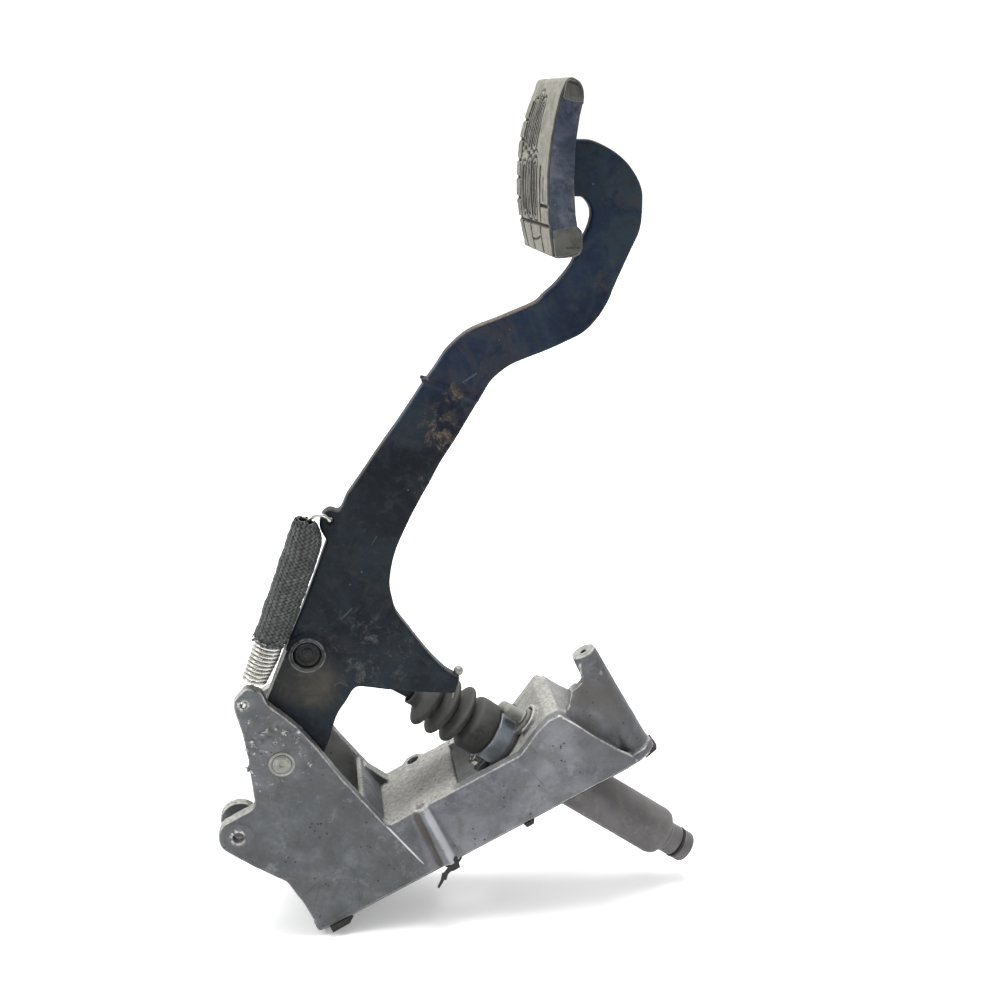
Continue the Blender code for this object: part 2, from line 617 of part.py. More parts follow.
# ================================================================ master cylinder
BODY = turned(
    "master_cylinder_body",
    [
        (0, 193), (12.5, 193), (15.5, 190.5), (BODY_R, 187), (BODY_R, 61.5), (13.6, 61.5),
        (13.0, 58), (13.0, 39), (14.4, 39), (14.4, 34), (BORE_R + 0.6, 34), (BORE_R + 0.6, 37.5),
        (11.2, 37.5), (11.2, 39.2), (BORE_R, 39.2), (BORE_R, 180), (4, 184), (0, 184),
    ],
    CYL_BODY, cyl, 32,
)
baked(BODY)
ears = []
for tag, x, y in EARS:
    ears.append(cyl_z("ear_" + tag, x, y, 7.5, 57.3, 61.5, None, cyl, 18))
    bar = block("ear_bar_" + tag, (-7.4, -23.5, 57.4), (7.4, -11.5, 61.4), None, cyl)
    bar.rotation_euler = (0, 0, math.atan2(y, x) + math.radians(90))
    ears.append(bar)
fuse(BODY, *ears)
boss_in = cyl_z("inlet_socket", -18.6, 2, 4.9, 49, 61.2, None, cyl, 20)
link_in = block("inlet_link", (-18.6, -1, 51), (-11, 5, 61.3), None, cyl)
fuse(BODY, boss_in, link_in)
cut(
    BODY,
    cyl_z("ear_hole_a", -EAR_X, -EAR_Y, 3.2, 50, 70, None, cyl, 14),
    cyl_z("ear_hole_b", EAR_X, EAR_Y, 3.2, 50, 70, None, cyl, 14),
    cyl_z("inlet_bore", -18.6, 2, 3.0, 40, 60, None, cyl, 16),
    cyl_z("outlet_bore", 0, 0, 5.2, 170, 200, None, cyl, 16),
)
turned(
    "inlet_nipple",
    [(2.7, 58.5), (2.7, 48.9), (4.6, 48.7), (4.6, 48.1), (1.7, 48.1), (1.7, 58.5)],
    PLASTIC, cyl, 20, closed=True,
)
nipple = parts.objects["inlet_nipple"]
nipple.location = (-18.6 * MM, 2 * MM, 0)
for tag, x, y in EARS:
    bolt = turned(
        "flange_bolt_" + tag,
        [(0, 74), (2.4, 74), (2.9, 73), (2.9, 57.0), (6, 57.0), (6, 52.2), (5.4, 51.4), (3.2, 51.4), (3.2, 54.0), (0, 54.0)],
        ZINC, cyl, 18,
    )
    bolt.location = (x * MM, y * MM, 0)

turned(
    "outlet_connector",
    [(2.2, 214), (9.6, 214), (10.5, 213), (10.5, 206.5), (9.2, 206), (9.2, 204.2), (10.5, 203.6), (10.5, 193.4),
     (4.9, 193.4), (4.9, 185), (2.2, 185)],
    STEEL, cyl, 24, closed=True,
)
turned("outlet_o_ring", [(10.9, 205.7), (10.9, 204.5), (9.5, 204.5), (9.5, 205.7)], RUBBER, cyl, 24, closed=True)

# moving parts inside the bore
turned(
    "piston",
    [(0, 116), (6.0, 116), (6.0, 111), (9.2, 111), (9.2, 106), (6.6, 106), (6.6, 101), (9.2, 101), (9.2, 74),
     (6.6, 74), (6.6, 69), (9.2, 69), (9.2, 46), (7.0, 46), (6.6, BALL_T), (6.2, BALL_T + 2), (5.2, BALL_T + 4), (3.2, BALL_T + 5.8), (0, BALL_T + 6.4)],
    PISTON_M, cyl, 20,
)
turned("primary_seal", [(9.3, 105.7), (9.3, 101.3), (6.9, 101.3), (6.9, 105.7)], RUBBER, cyl, 24, closed=True)
turned("secondary_seal", [(9.3, 73.7), (9.3, 69.3), (6.9, 69.3), (6.9, 73.7)], RUBBER, cyl, 24, closed=True)
turned("piston_stop_washer", [(9.2, 45.6), (9.2, 44.4), (7.6, 44.4), (7.6, 45.6)], ZINC, cyl, 24, closed=True)
turned("piston_circlip", [(10.9, 38.9), (10.9, 37.8), (8.6, 37.8), (8.6, 38.9)], SPRING, cyl, 24, closed=True)
SPRING_TURNS, SPRING_PTS = 7, 8
wire(
    "cylinder_return_spring",
    [
        (
            7.6 * math.cos(math.tau * i / SPRING_PTS),
            7.6 * math.sin(math.tau * i / SPRING_PTS),
            112.2 + (179.0 - 1.2 - 112.2) * i / (SPRING_TURNS * SPRING_PTS),
        )
        for i in range(SPRING_TURNS * SPRING_PTS + 1)
    ],
    0.9, SPRING, cyl, 0,
)

# rubber boot: three rolls and a cuff over the cylinder's collar
BOOT_OUT = [
    (13.6, 47.6), (15.4, 47.6), (18.0, 45.4), (19.0, 41), (19.2, 36), (18.8, 32), (17.0, 29.8), (13.4, 28.6),
    (13.2, 27.0), (17.6, 25.4), (19.6, 22.6), (19.4, 20.2), (17.4, 18.2), (12.8, 17.0), (12.6, 15.4),
    (17.4, 13.8), (19.2, 11.4), (19.0, 9.0), (16.8, 7.2), (12.0, 6.0), (11.8, 4.4), (16.2, 2.6), (18.0, 0.4),
    (17.6, -2.2), (15.0, -4.2), (10.0, -5.6), (8.2, -7.4), (8.2, -11.6),
]
BOOT_IN = [
    (5.4, -11.6), (5.4, -7.0), (8.2, -4.0), (13.6, -2.2), (15.8, -0.6), (14.6, 1.2), (9.8, 3.6), (10.0, 6.8),
    (14.8, 8.6), (17.0, 10.2), (15.6, 12.2), (10.6, 14.6), (10.8, 17.8), (15.4, 19.6), (17.4, 21.4),
    (15.8, 23.8), (11.2, 26.2), (11.4, 29.4), (15.4, 31.4), (15.6, 33.2), (14.8, 33.6), (14.8, 39.4),
    (13.6, 40.0),
]
boot = turned("dust_boot", BOOT_OUT + BOOT_IN, RUBBER, cyl, 18, closed=True)
baked(boot)
# the small end follows the rod, which leans a little from the cylinder's axis
lean = (cyl_point(-10)[0], cyl_point(-10)[1])
rod_base = (
    ROD_PIN[0] * math.cos(math.radians(PITCH)) + ROD_PIN[1] * math.sin(math.radians(PITCH)),
    -ROD_PIN[0] * math.sin(math.radians(PITCH)) + ROD_PIN[1] * math.cos(math.radians(PITCH)),
)
a = math.radians(CYL_DIP)
rod_t = (rod_base[0] - CYL_A0[0]) * math.cos(a) - (rod_base[1] - CYL_A0[1]) * math.sin(a)
rod_n = (rod_base[0] - CYL_A0[0]) * math.sin(a) + (rod_base[1] - CYL_A0[1]) * math.cos(a)
for v in boot.data.vertices:
    t = v.co.z / MM
    off = rod_n * (BALL_T - t) / (BALL_T - rod_t)      # how far the rod is off the axis here
    v.co.x -= off * min(1.0, max(0.0, (28.0 - t) / 36.0)) * MM

# ================================================================ return spring
low, top = Vector(COIL_LOW), Vector(COIL_TOP)
axis = (top - low).normalized()
side = axis.cross(Vector((0, 1, 0))).normalized()
across = axis.cross(side).normalized()
PTS = 6
coil = []
steps = COIL_TURNS * PTS
# the ends step off the coil towards the holes that they hook into
start_turn = math.radians(270)


def coil_point(i):
    ang = start_turn + math.tau * i / PTS
    return low + (top - low) * (i / steps) + side * (COIL_R * math.cos(ang)) + across * (COIL_R * math.sin(ang))


coil = [coil_point(i) for i in range(steps + 1)]
first, last = coil[0], coil[-1]
hook_lo = [
    Vector((-64.6, -25.0, 154.6)), Vector((-66.8, -25.6, 149.5)), Vector((-69.6, -26.2, 146.0)),
    Vector((-70.5, -28.4, 144.8)), Vector((-70.5, -31.5, 144.6)), Vector((-70.5, -35.4, 144.7)),
    Vector((-69.3, -37.6, 146.6)),
]
hook_hi = [
    Vector((-28.0, -28.8, 257.6)), Vector((-25.0, -30.6, 260.6)), Vector((-20.8, -30.4, 262.0)),
    Vector((-16.8, -30.0, 260.6)), Vector((-14.5, -28.8, 257.6)), Vector((-14.3, -22.0, 256.6)),
    Vector((-14.8, -15.2, 257.2)), Vector((-17.6, -14.0, 260.0)), Vector((-20.6, -14.6, 262.4)),
]
wire("return_spring", [tuple(p) for p in hook_lo[::-1] + coil + hook_hi], SPRING_WIRE_R, SPRING, None, 0)
sleeve_frame = empty("sleeve_frame", tuple(low), parent=None)
sleeve_frame.rotation_mode = "QUATERNION"
sleeve_frame.rotation_quaternion = axis.to_track_quat("Z", "Y")
SLEEVE_LO, SLEEVE_HI = 26.0, (top - low).length - 3.0
turned(
    "spring_sleeve",
    [(8.6, SLEEVE_HI), (9.6, SLEEVE_HI), (10.0, SLEEVE_HI - 8), (10.1, SLEEVE_HI - 20), (10.0, SLEEVE_LO + 20), (10.0, SLEEVE_LO + 6),
     (10.4, SLEEVE_LO), (9.4, SLEEVE_LO), (8.7, SLEEVE_LO + 8), (8.5, SLEEVE_LO + 20), (8.5, SLEEVE_HI - 18),
     (8.35, SLEEVE_HI)],
    BRAID, sleeve_frame, 24, closed=True,
)
bpy.context.view_layer.update()
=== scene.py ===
"""Looks of the clutch pedal assembly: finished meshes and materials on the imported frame."""

import math

import bmesh
import bpy
import numpy as np
from mathutils import Matrix, Vector, noise


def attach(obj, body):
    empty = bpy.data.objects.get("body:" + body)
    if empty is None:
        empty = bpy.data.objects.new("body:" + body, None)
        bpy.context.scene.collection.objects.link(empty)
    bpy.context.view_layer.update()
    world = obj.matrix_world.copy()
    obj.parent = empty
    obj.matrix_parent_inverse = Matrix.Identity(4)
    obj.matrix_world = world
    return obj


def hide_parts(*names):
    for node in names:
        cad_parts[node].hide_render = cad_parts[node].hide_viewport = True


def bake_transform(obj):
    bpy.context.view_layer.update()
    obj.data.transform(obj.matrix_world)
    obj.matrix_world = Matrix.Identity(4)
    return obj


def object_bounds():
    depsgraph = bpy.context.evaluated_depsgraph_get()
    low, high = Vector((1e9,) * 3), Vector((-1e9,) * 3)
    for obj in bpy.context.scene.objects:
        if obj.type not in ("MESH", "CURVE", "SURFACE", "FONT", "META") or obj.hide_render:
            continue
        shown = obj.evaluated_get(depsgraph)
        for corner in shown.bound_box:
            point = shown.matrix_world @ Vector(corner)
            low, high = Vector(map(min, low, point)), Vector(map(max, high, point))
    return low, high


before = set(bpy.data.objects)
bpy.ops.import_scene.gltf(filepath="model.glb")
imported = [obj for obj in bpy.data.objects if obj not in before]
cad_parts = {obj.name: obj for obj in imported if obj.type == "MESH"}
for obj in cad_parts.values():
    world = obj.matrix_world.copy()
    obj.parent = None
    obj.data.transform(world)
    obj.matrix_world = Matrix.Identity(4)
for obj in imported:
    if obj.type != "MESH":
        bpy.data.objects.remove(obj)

CAD_LO, CAD_HI = [list(c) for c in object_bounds()]
MM = 0.001

# ------------------------------------------------------------------ dimensions, mm
PITCH = 27.0
H, IN = 35.0, 28.0
DECK_W = 44.0
PIVOT = (4.0, 116.0)
PIN_R = 6.0
LEVER_Y0, LEVER_Y1 = -27.0, -17.0
ROD_Y = 4.0
ROD_PIN = (-31.0, 172.3)
CYL_A0 = (98.2, 91.9)
CYL_DIP = 62.0
BALL_T = 50.0
BODY_R, BORE_R = 16.5, 9.5
COIL_LOW = (-63.8, -31.0, 158.6)
COIL_TOP = (-29.4, -31.0, 253.5)
COIL_R, SPRING_WIRE_R, COIL_TURNS = 6.8, 1.1, 38
PAD_Y0, PAD_Y1 = -57.0, 15.0

B27 = Matrix.Rotation(-math.radians(PITCH), 4, "Y")
CYL = (
    B27
    @ Matrix.Translation((CYL_A0[0] * MM, ROD_Y * MM, CYL_A0[1] * MM))
    @ Matrix.Rotation(math.radians(90 + CYL_DIP), 4, "Y")
)


def base_to_world(u, w):
    b = math.radians(PITCH)
    return (u * math.cos(b) - w * math.sin(b), u * math.sin(b) + w * math.cos(b))


def cyl_point(t, n=0.0):
    a = math.radians(CYL_DIP)
    return (
        CYL_A0[0] + t * math.cos(a) + n * math.sin(a),
        CYL_A0[1] - t * math.sin(a) + n * math.cos(a),
    )


PIVOT_XZ = base_to_world(*PIVOT)
BALL_XZ = base_to_world(*cyl_point(BALL_T))
ROD_LEN = math.hypot(BALL_XZ[0] - ROD_PIN[0], BALL_XZ[1] - ROD_PIN[1])
ROD = Matrix.Translation((ROD_PIN[0] * MM, ROD_Y * MM, ROD_PIN[1] * MM)) @ Matrix.Rotation(
    math.atan2(BALL_XZ[0] - ROD_PIN[0], BALL_XZ[1] - ROD_PIN[1]), 4, "Y"
)
ALONG_Y = Matrix.Rotation(math.radians(-90), 4, "X")
PEDAL = Matrix.Translation((PIVOT_XZ[0] * MM, 0, PIVOT_XZ[1] * MM))
RODPIN = Matrix.Translation((ROD_PIN[0] * MM, 0, ROD_PIN[1] * MM))

# ------------------------------------------------------------------ mesh helpers
scene = bpy.context.scene


def link(ob):
    scene.collection.objects.link(ob)
    return ob


def evaluated(ob):
    """Applies the object's modifiers and transform; returns the object with a plain mesh."""
    bpy.context.view_layer.update()
    dg = bpy.context.evaluated_depsgraph_get()
    me = bpy.data.meshes.new_from_object(ob.evaluated_get(dg))
    me.transform(ob.matrix_world)
    ob.modifiers.clear()
    ob.matrix_world = Matrix.Identity(4)
    ob.data = me
    return ob


def smooth(ob, angle=35):
    ob.data.shade_smooth()
    if angle < 180:
        ob.data.set_sharp_from_angle(angle=math.radians(angle))
    return ob


def mesh_object(name, verts, faces, matrix=None):
    me = bpy.data.meshes.new(name)
    me.from_pydata([tuple(v) for v in verts], [], faces)
    me.validate()
    if matrix is not None:
        me.transform(matrix)
    return link(bpy.data.objects.new(name, me))


def rounded(points, radius, n=4):
    out = []
    count = len(points)
    for i, p in enumerate(points):
        a, b = Vector(points[i - 1]), Vector(points[(i + 1) % count])
        p = Vector(p)
        da, db = (a - p), (b - p)
        la, lb = da.length, db.length
        da.normalize()
        db.normalize()
        turn = math.pi - da.angle(db)
        if turn < math.radians(20):
            out.append(tuple(p))
            continue
        d = min(radius * math.tan(turn / 2), 0.45 * la, 0.45 * lb)
        for k in range(n + 1):
            s = k / n
            q = (1 - s) ** 2 * (p + da * d) + 2 * s * (1 - s) * p + s**2 * (p + db * d)
            out.append(tuple(q))
    return out


def arc(cx, cz, r, a0, a1, n):
    return [
        (
            cx + r * math.cos(math.radians(a0 + (a1 - a0) * i / n)),
            cz + r * math.sin(math.radians(a0 + (a1 - a0) * i / n)),
        )
        for i in range(n + 1)
    ]


def bow(p, q, sag, n):
    length = math.hypot(q[0] - p[0], q[1] - p[1])
    nx, nz = -(q[1] - p[1]) / length, (q[0] - p[0]) / length
    out = []
    for i in range(n + 1):
        s = i / n
        h = sag * (1 - (2 * s - 1) ** 2)
        out.append((p[0] + (q[0] - p[0]) * s + nx * h, p[1] + (q[1] - p[1]) * s + nz * h))
    return out


def spline(points, per, closed=False):
    """Catmull-Rom curve through the points, `per` steps between each pair."""
    pts = [np.array(p, float) for p in points]
    n = len(pts)
    out = []
    spans = n if closed else n - 1
    for i in range(spans):
        p1, p2 = pts[i], pts[(i + 1) % n]
        p0 = pts[i - 1] if (closed or i > 0) else 2 * p1 - p2
        p3 = pts[(i + 2) % n] if (closed or i + 2 < n) else 2 * p2 - p1
        for k in range(per):
            t = k / per
            out.append(
                0.5 * ((2 * p1) + (p2 - p0) * t + (2 * p0 - 5 * p1 + 4 * p2 - p3) * t**2
                       + (3 * p1 - p0 - 3 * p2 + p3) * t**3)
            )
    if not closed:
        out.append(pts[-1])
    return [tuple(p) for p in out]


def plate(name, outline, y0, y1, matrix=None):
    """Flat outline in (x, z), mm, with its thickness from y0 to y1; n-gon caps."""
    n = len(outline)
    verts = [(x * MM, y0 * MM, z * MM) for x, z in outline]
    verts += [(x * MM, y1 * MM, z * MM) for x, z in outline]
    faces = [list(range(n)), list(range(2 * n - 1, n - 1, -1))]
    for i in range(n):
        j = (i + 1) % n
        faces.append([i, i + n, j + n, j])
    ob = mesh_object(name, verts, faces, matrix)
    bm = bmesh.new()
    bm.from_mesh(ob.data)
    bmesh.ops.recalc_face_normals(bm, faces=bm.faces)
    bm.to_mesh(ob.data)
    bm.free()
    return ob


def turned(name, profile, matrix=None, segs=64, closed=False, angle=35, bevel=0.0):
    """Profile of (radius, height), mm, turned about local Z, placed by matrix."""
    verts, rings = [], []
    for r, z in profile:
        if r <= 1e-6:
            rings.append([len(verts)])
            verts.append((0, 0, z * MM))
        else:
            rings.append(list(range(len(verts), len(verts) + segs)))
            for k in range(segs):
                a = math.tau * k / segs
                verts.append((r * MM * math.cos(a), r * MM * math.sin(a), z * MM))
    faces = []
    count = len(rings)
    for i in range(count if closed else count - 1):
        a, b = rings[i], rings[(i + 1) % count]
        if len(a) == 1 and len(b) == 1:
            continue
        for k in range(segs):
            m = (k + 1) % segs
            if len(a) == 1:
                faces.append([a[0], b[k], b[m]])
            elif len(b) == 1:
                faces.append([a[k], b[0], a[m]])
            else:
                faces.append([a[k], b[k], b[m], a[m]])
    ob = mesh_object(name, verts, faces)
    bm = bmesh.new()
    bm.from_mesh(ob.data)
    bmesh.ops.recalc_face_normals(bm, faces=bm.faces)
    bm.to_mesh(ob.data)
    bm.free()
    if bevel:
        add_bevel(ob, bevel)
    ob = evaluated(ob)
    if matrix is not None:
        ob.data.transform(matrix)
    return smooth(ob, angle)


def add_bevel(ob, width, segs=2, angle=28):
    m = ob.modifiers.new("edges", "BEVEL")
    m.width = width * MM
    m.segments = segs
    m.limit_method = "ANGLE"
    m.angle_limit = math.radians(angle)
    m.use_clamp_overlap = True
    m.miter_outer = "MITER_ARC"
    return ob


def cone(name, p, q, r0, r1=None, segs=32):
    """Capped cylinder or cone between two points, mm."""
    a, b = Vector(p), Vector(q)
    d = b - a
    bm = bmesh.new()
    bmesh.ops.create_cone(
        bm, cap_ends=True, segments=segs, radius1=r0 * MM,
        radius2=(r0 if r1 is None else r1) * MM, depth=d.length * MM,
    )
    m = Matrix.Translation((a + b) / 2 * MM) @ d.to_track_quat("Z", "Y").to_matrix().to_4x4()
    bmesh.ops.transform(bm, verts=bm.verts, matrix=m)
    me = bpy.data.meshes.new(name)
    bm.to_mesh(me)
    bm.free()
    return link(bpy.data.objects.new(name, me))


def blob(name, p, r, squash=(1, 1, 1), matrix=None):
    bm = bmesh.new()
    bmesh.ops.create_icosphere(bm, subdivisions=2, radius=r * MM)
    for v in bm.verts:
        v.co = Vector((v.co.x * squash[0], v.co.y * squash[1], v.co.z * squash[2]))
        v.co += Vector(p) * MM
    me = bpy.data.meshes.new(name)
    bm.to_mesh(me)
    bm.free()
    if matrix is not None:
        me.transform(matrix)
    return link(bpy.data.objects.new(name, me))


def block(name, lo, hi, matrix=None, bevel=0.0):
    bm = bmesh.new()
    bmesh.ops.create_cube(bm, size=1.0)
    for v in bm.verts:
        v.co = Vector([(lo[i] + hi[i]) / 2 + v.co[i] * (hi[i] - lo[i]) for i in range(3)]) * MM
    if bevel:
        bmesh.ops.bevel(bm, geom=list(bm.edges), offset=bevel * MM, segments=3, profile=0.5, affect="EDGES")
    me = bpy.data.meshes.new(name)
    bm.to_mesh(me)
    bm.free()
    if matrix is not None:
        me.transform(matrix)
    return link(bpy.data.objects.new(name, me))


def merged(name, obs):
    """One object that holds the meshes of all of them, as loose shells."""
    bm = bmesh.new()
    for o in obs:
        o = evaluated(o)
        bm.from_mesh(o.data)
        bpy.data.objects.remove(o, do_unlink=True)
    me = bpy.data.meshes.new(name)
    bm.to_mesh(me)
    bm.free()
    return link(bpy.data.objects.new(name, me))


def boolean(ob, tools, op):
    for t in tools:
        m = ob.modifiers.new(op.lower(), "BOOLEAN")
        m.operation = op
        m.solver = "EXACT"
        m.object = t
    ob = evaluated(ob)
    for t in tools:
        bpy.data.objects.remove(t, do_unlink=True)
    return ob


def cad_copy(node, name, dissolve=True):
    """A new object with the CAD node's shape, welded, with its flat faces joined."""
    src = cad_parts[node]
    bm = bmesh.new()
    bm.from_mesh(src.data)
    bmesh.ops.remove_doubles(bm, verts=bm.verts, dist=0.000002)
    if dissolve:
        bmesh.ops.dissolve_limit(bm, angle_limit=math.radians(0.6), verts=bm.verts, edges=bm.edges)
    me = bpy.data.meshes.new(name)
    bm.to_mesh(me)
    bm.free()
    return link(bpy.data.objects.new(name, me))


def remeshed(ob, voxel, steps=4, factor=0.5):
    m = ob.modifiers.new("skin", "REMESH")
    m.mode = "VOXEL"
    m.voxel_size = voxel * MM
    m.use_smooth_shade = True
    s = ob.modifiers.new("soften", "SMOOTH")
    s.factor = factor
    s.iterations = steps
    return evaluated(ob)


def displaced(ob, scale, strength, depth=2, kind="CLOUDS"):
    """Pushes the surface along its normals by procedural noise; scale in mm."""
    t = bpy.data.textures.new(ob.name + "_rough", kind)
    t.noise_scale = scale * MM
    if kind == "CLOUDS":
        t.noise_depth = depth
    m = ob.modifiers.new("rough", "DISPLACE")
    m.texture = t
    m.texture_coords = "LOCAL"
    m.strength = strength * MM
    m.mid_level = 0.5
    return ob


def thinned(ob, ratio):
    m = ob.modifiers.new("thin", "DECIMATE")
    m.ratio = ratio
    return ob


def tube(name, points, radius, sides=8, caps=True, taper=None):
    """Round wire along the points (mm), with frames carried along the path."""
    pts = [Vector(p) for p in points]
    n = len(pts)
    tang = []
    for i in range(n):
        a = pts[max(i - 1, 0)]
        b = pts[min(i + 1, n - 1)]
        tang.append((b - a).normalized())
    up = Vector((0, 1, 0)) if abs(tang[0].y) < 0.9 else Vector((1, 0, 0))
    nrm = (up - tang[0] * up.dot(tang[0])).normalized()
    verts, faces = [], []
    for i in range(n):
        if i:
            q = tang[i - 1].rotation_difference(tang[i])
            nrm = q @ nrm
            nrm = (nrm - tang[i] * nrm.dot(tang[i])).normalized()
        bi = tang[i].cross(nrm)
        r = radius if taper is None else radius * taper(i / (n - 1))
        for k in range(sides):
            a = math.tau * k / sides
            verts.append((pts[i] + (nrm * math.cos(a) + bi * math.sin(a)) * r) * MM)
    for i in range(n - 1):
        for k in range(sides):
            m = (k + 1) % sides
            faces.append([i * sides + k, i * sides + m, (i + 1) * sides + m, (i + 1) * sides + k])
    if caps:
        faces.append(list(range(sides - 1, -1, -1)))
        faces.append([(n - 1) * sides + k for k in range(sides)])
    ob = mesh_object(name, verts, faces)
    return smooth(ob, 60)


# ------------------------------------------------------------------ material helpers


class Mat:
    """A node material with short calls for its common nodes."""

    def __init__(self, name):
        self.m = bpy.data.materials.new(name)
        self.m.use_nodes = True
        self.nt = self.m.node_tree
        self.b = self.nt.nodes["Principled BSDF"]
        tc = self.nt.nodes.new("ShaderNodeTexCoord")
        self.co = tc.outputs["Object"]
        self.geo = self.nt.nodes.new("ShaderNodeNewGeometry")

    def put(self, socket, value):
        if hasattr(value, "is_output"):
            self.nt.links.new(value, socket)
        else:
            if isinstance(value, (tuple, list)) and len(value) == 3 and socket.type == "RGBA":
                value = (*value, 1.0)
            socket.default_value = value

    def noise(self, scale, detail=4, rough=0.55, distortion=0.0, co=None, stretch=None, w=0.0):
        n = self.nt.nodes.new("ShaderNodeTexNoise")
        src = co or self.co
        if stretch or w:
            mp = self.nt.nodes.new("ShaderNodeMapping")
            self.nt.links.new(src, mp.inputs["Vector"])
            if stretch:
                mp.inputs["Scale"].default_value = stretch
            mp.inputs["Location"].default_value = (w, w * 0.7, -w)
            src = mp.outputs["Vector"]
        self.nt.links.new(src, n.inputs["Vector"])
        n.inputs["Scale"].default_value = scale
        n.inputs["Detail"].default_value = detail
        n.inputs["Roughness"].default_value = rough
        n.inputs["Distortion"].default_value = distortion
        return n.outputs["Fac"]

    def voronoi(self, scale, feature="F1", co=None, out="Distance", randomness=1.0):
        n = self.nt.nodes.new("ShaderNodeTexVoronoi")
        n.feature = feature
        self.nt.links.new(co or self.co, n.inputs["Vector"])
        n.inputs["Scale"].default_value = scale
        n.inputs["Randomness"].default_value = randomness
        return n.outputs[out]

    def ramp(self, fac, stops, mode="LINEAR"):
        n = self.nt.nodes.new("ShaderNodeValToRGB")
        n.color_ramp.interpolation = mode
        e = n.color_ramp.elements
        while len(e) < len(stops):
            e.new(0.5)
        for el, (p, c) in zip(e, stops):
            el.position = p
            if not isinstance(c, (tuple, list)):
                c = (c, c, c)
            el.color = (*c, 1.0)
        self.nt.links.new(fac, n.inputs["Fac"])
        return n.outputs["Color"]

    def span(self, fac, a, b, lo=0.0, hi=1.0, smooth=True):
        n = self.nt.nodes.new("ShaderNodeMapRange")
        n.interpolation_type = "SMOOTHSTEP" if smooth else "LINEAR"
        self.put(n.inputs["Value"], fac)
        n.inputs["From Min"].default_value = a
        n.inputs["From Max"].default_value = b
        n.inputs["To Min"].default_value = lo
        n.inputs["To Max"].default_value = hi
        return n.outputs["Result"]

    def math(self, op, a, b=0.0, clamp=False):
        n = self.nt.nodes.new("ShaderNodeMath")
        n.operation = op
        n.use_clamp = clamp
        self.put(n.inputs[0], a)
        self.put(n.inputs[1], b)
        return n.outputs[0]

    def mix(self, fac, a, b, mode="MIX"):
        n = self.nt.nodes.new("ShaderNodeMix")
        n.data_type = "RGBA"
        n.blend_type = mode
        n.clamp_factor = True
        self.put(n.inputs[0], fac)
        self.put(n.inputs[6], a)
        self.put(n.inputs[7], b)
        return n.outputs[2]

    def near(self, centre, inner, outer, squash=(1, 1, 1), wobble=0.0, wob_scale=60):
        """1 inside `inner` mm of a point, 0 past `outer` mm, broken up by noise."""
        s = self.nt.nodes.new("ShaderNodeVectorMath")
        s.operation = "SUBTRACT"
        self.nt.links.new(self.co, s.inputs[0])
        s.inputs[1].default_value = [c * MM for c in centre]
        k = self.nt.nodes.new("ShaderNodeVectorMath")
        k.operation = "MULTIPLY"
        self.nt.links.new(s.outputs[0], k.inputs[0])
        k.inputs[1].default_value = squash
        l = self.nt.nodes.new("ShaderNodeVectorMath")
        l.operation = "LENGTH"
        self.nt.links.new(k.outputs[0], l.inputs[0])
        d = l.outputs["Value"]
        if wobble:
            n = self.noise(wob_scale, 5, 0.65)
            d = self.math("ADD", d, self.math("MULTIPLY", self.math("SUBTRACT", n, 0.5), wobble * MM * 2))
        return self.span(d, inner * MM, outer * MM, 1.0, 0.0)

    def dist(self, centre, squash=(1, 1, 1), wobble=0.0, wob_scale=60):
        """Distance from a point, in metres, with an uneven edge."""
        s = self.nt.nodes.new("ShaderNodeVectorMath")
        s.operation = "SUBTRACT"
        self.nt.links.new(self.co, s.inputs[0])
        s.inputs[1].default_value = [c * MM for c in centre]
        k = self.nt.nodes.new("ShaderNodeVectorMath")
        k.operation = "MULTIPLY"
        self.nt.links.new(s.outputs[0], k.inputs[0])
        k.inputs[1].default_value = squash
        l = self.nt.nodes.new("ShaderNodeVectorMath")
        l.operation = "LENGTH"
        self.nt.links.new(k.outputs[0], l.inputs[0])
        d = l.outputs["Value"]
        if wobble:
            n = self.noise(wob_scale, 5, 0.65)
            d = self.math("ADD", d, self.math("MULTIPLY", self.math("SUBTRACT", n, 0.5), wobble * MM * 2))
        return d

    def band(self, value, a, b, soft):
        """1 between a and b mm, falling off over soft mm."""
        up = self.span(value, (a - soft) * MM, a * MM)
        down = self.span(value, b * MM, (b + soft) * MM, 1.0, 0.0)
        return self.math("MULTIPLY", up, down)

    def line(self, p, q, half, soft, wobble=0.0, wob_scale=80):
        """1 within half mm of the segment between two points, mm."""
        a = Vector(p) * MM
        ab = (Vector(q) - Vector(p)) * MM
        vm = self.nt.nodes.new

        def vec(op, x, y):
            n = vm("ShaderNodeVectorMath")
            n.operation = op
            for sock, val in zip(n.inputs, (x, y)):
                if hasattr(val, "is_output"):
                    self.nt.links.new(val, sock)
                else:
                    sock.default_value = val
            return n

        ap = vec("SUBTRACT", self.co, tuple(a)).outputs[0]
        t = vec("DOT_PRODUCT", ap, tuple(ab / ab.length_squared)).outputs["Value"]
        t = self.math("MULTIPLY", t, 1.0, clamp=True)
        sc = vm("ShaderNodeVectorMath")
        sc.operation = "SCALE"
        sc.inputs[0].default_value = tuple(ab)
        self.nt.links.new(t, sc.inputs["Scale"])
        off = vec("SUBTRACT", ap, sc.outputs[0]).outputs[0]
        d = vm("ShaderNodeVectorMath")
        d.operation = "LENGTH"
        self.nt.links.new(off, d.inputs[0])
        d = d.outputs["Value"]
        if wobble:
            n = self.noise(wob_scale, 5, 0.65)
            d = self.math("ADD", d, self.math("MULTIPLY", self.math("SUBTRACT", n, 0.5), wobble * MM * 2))
        return self.span(d, half * MM, (half + soft) * MM, 1.0, 0.0)

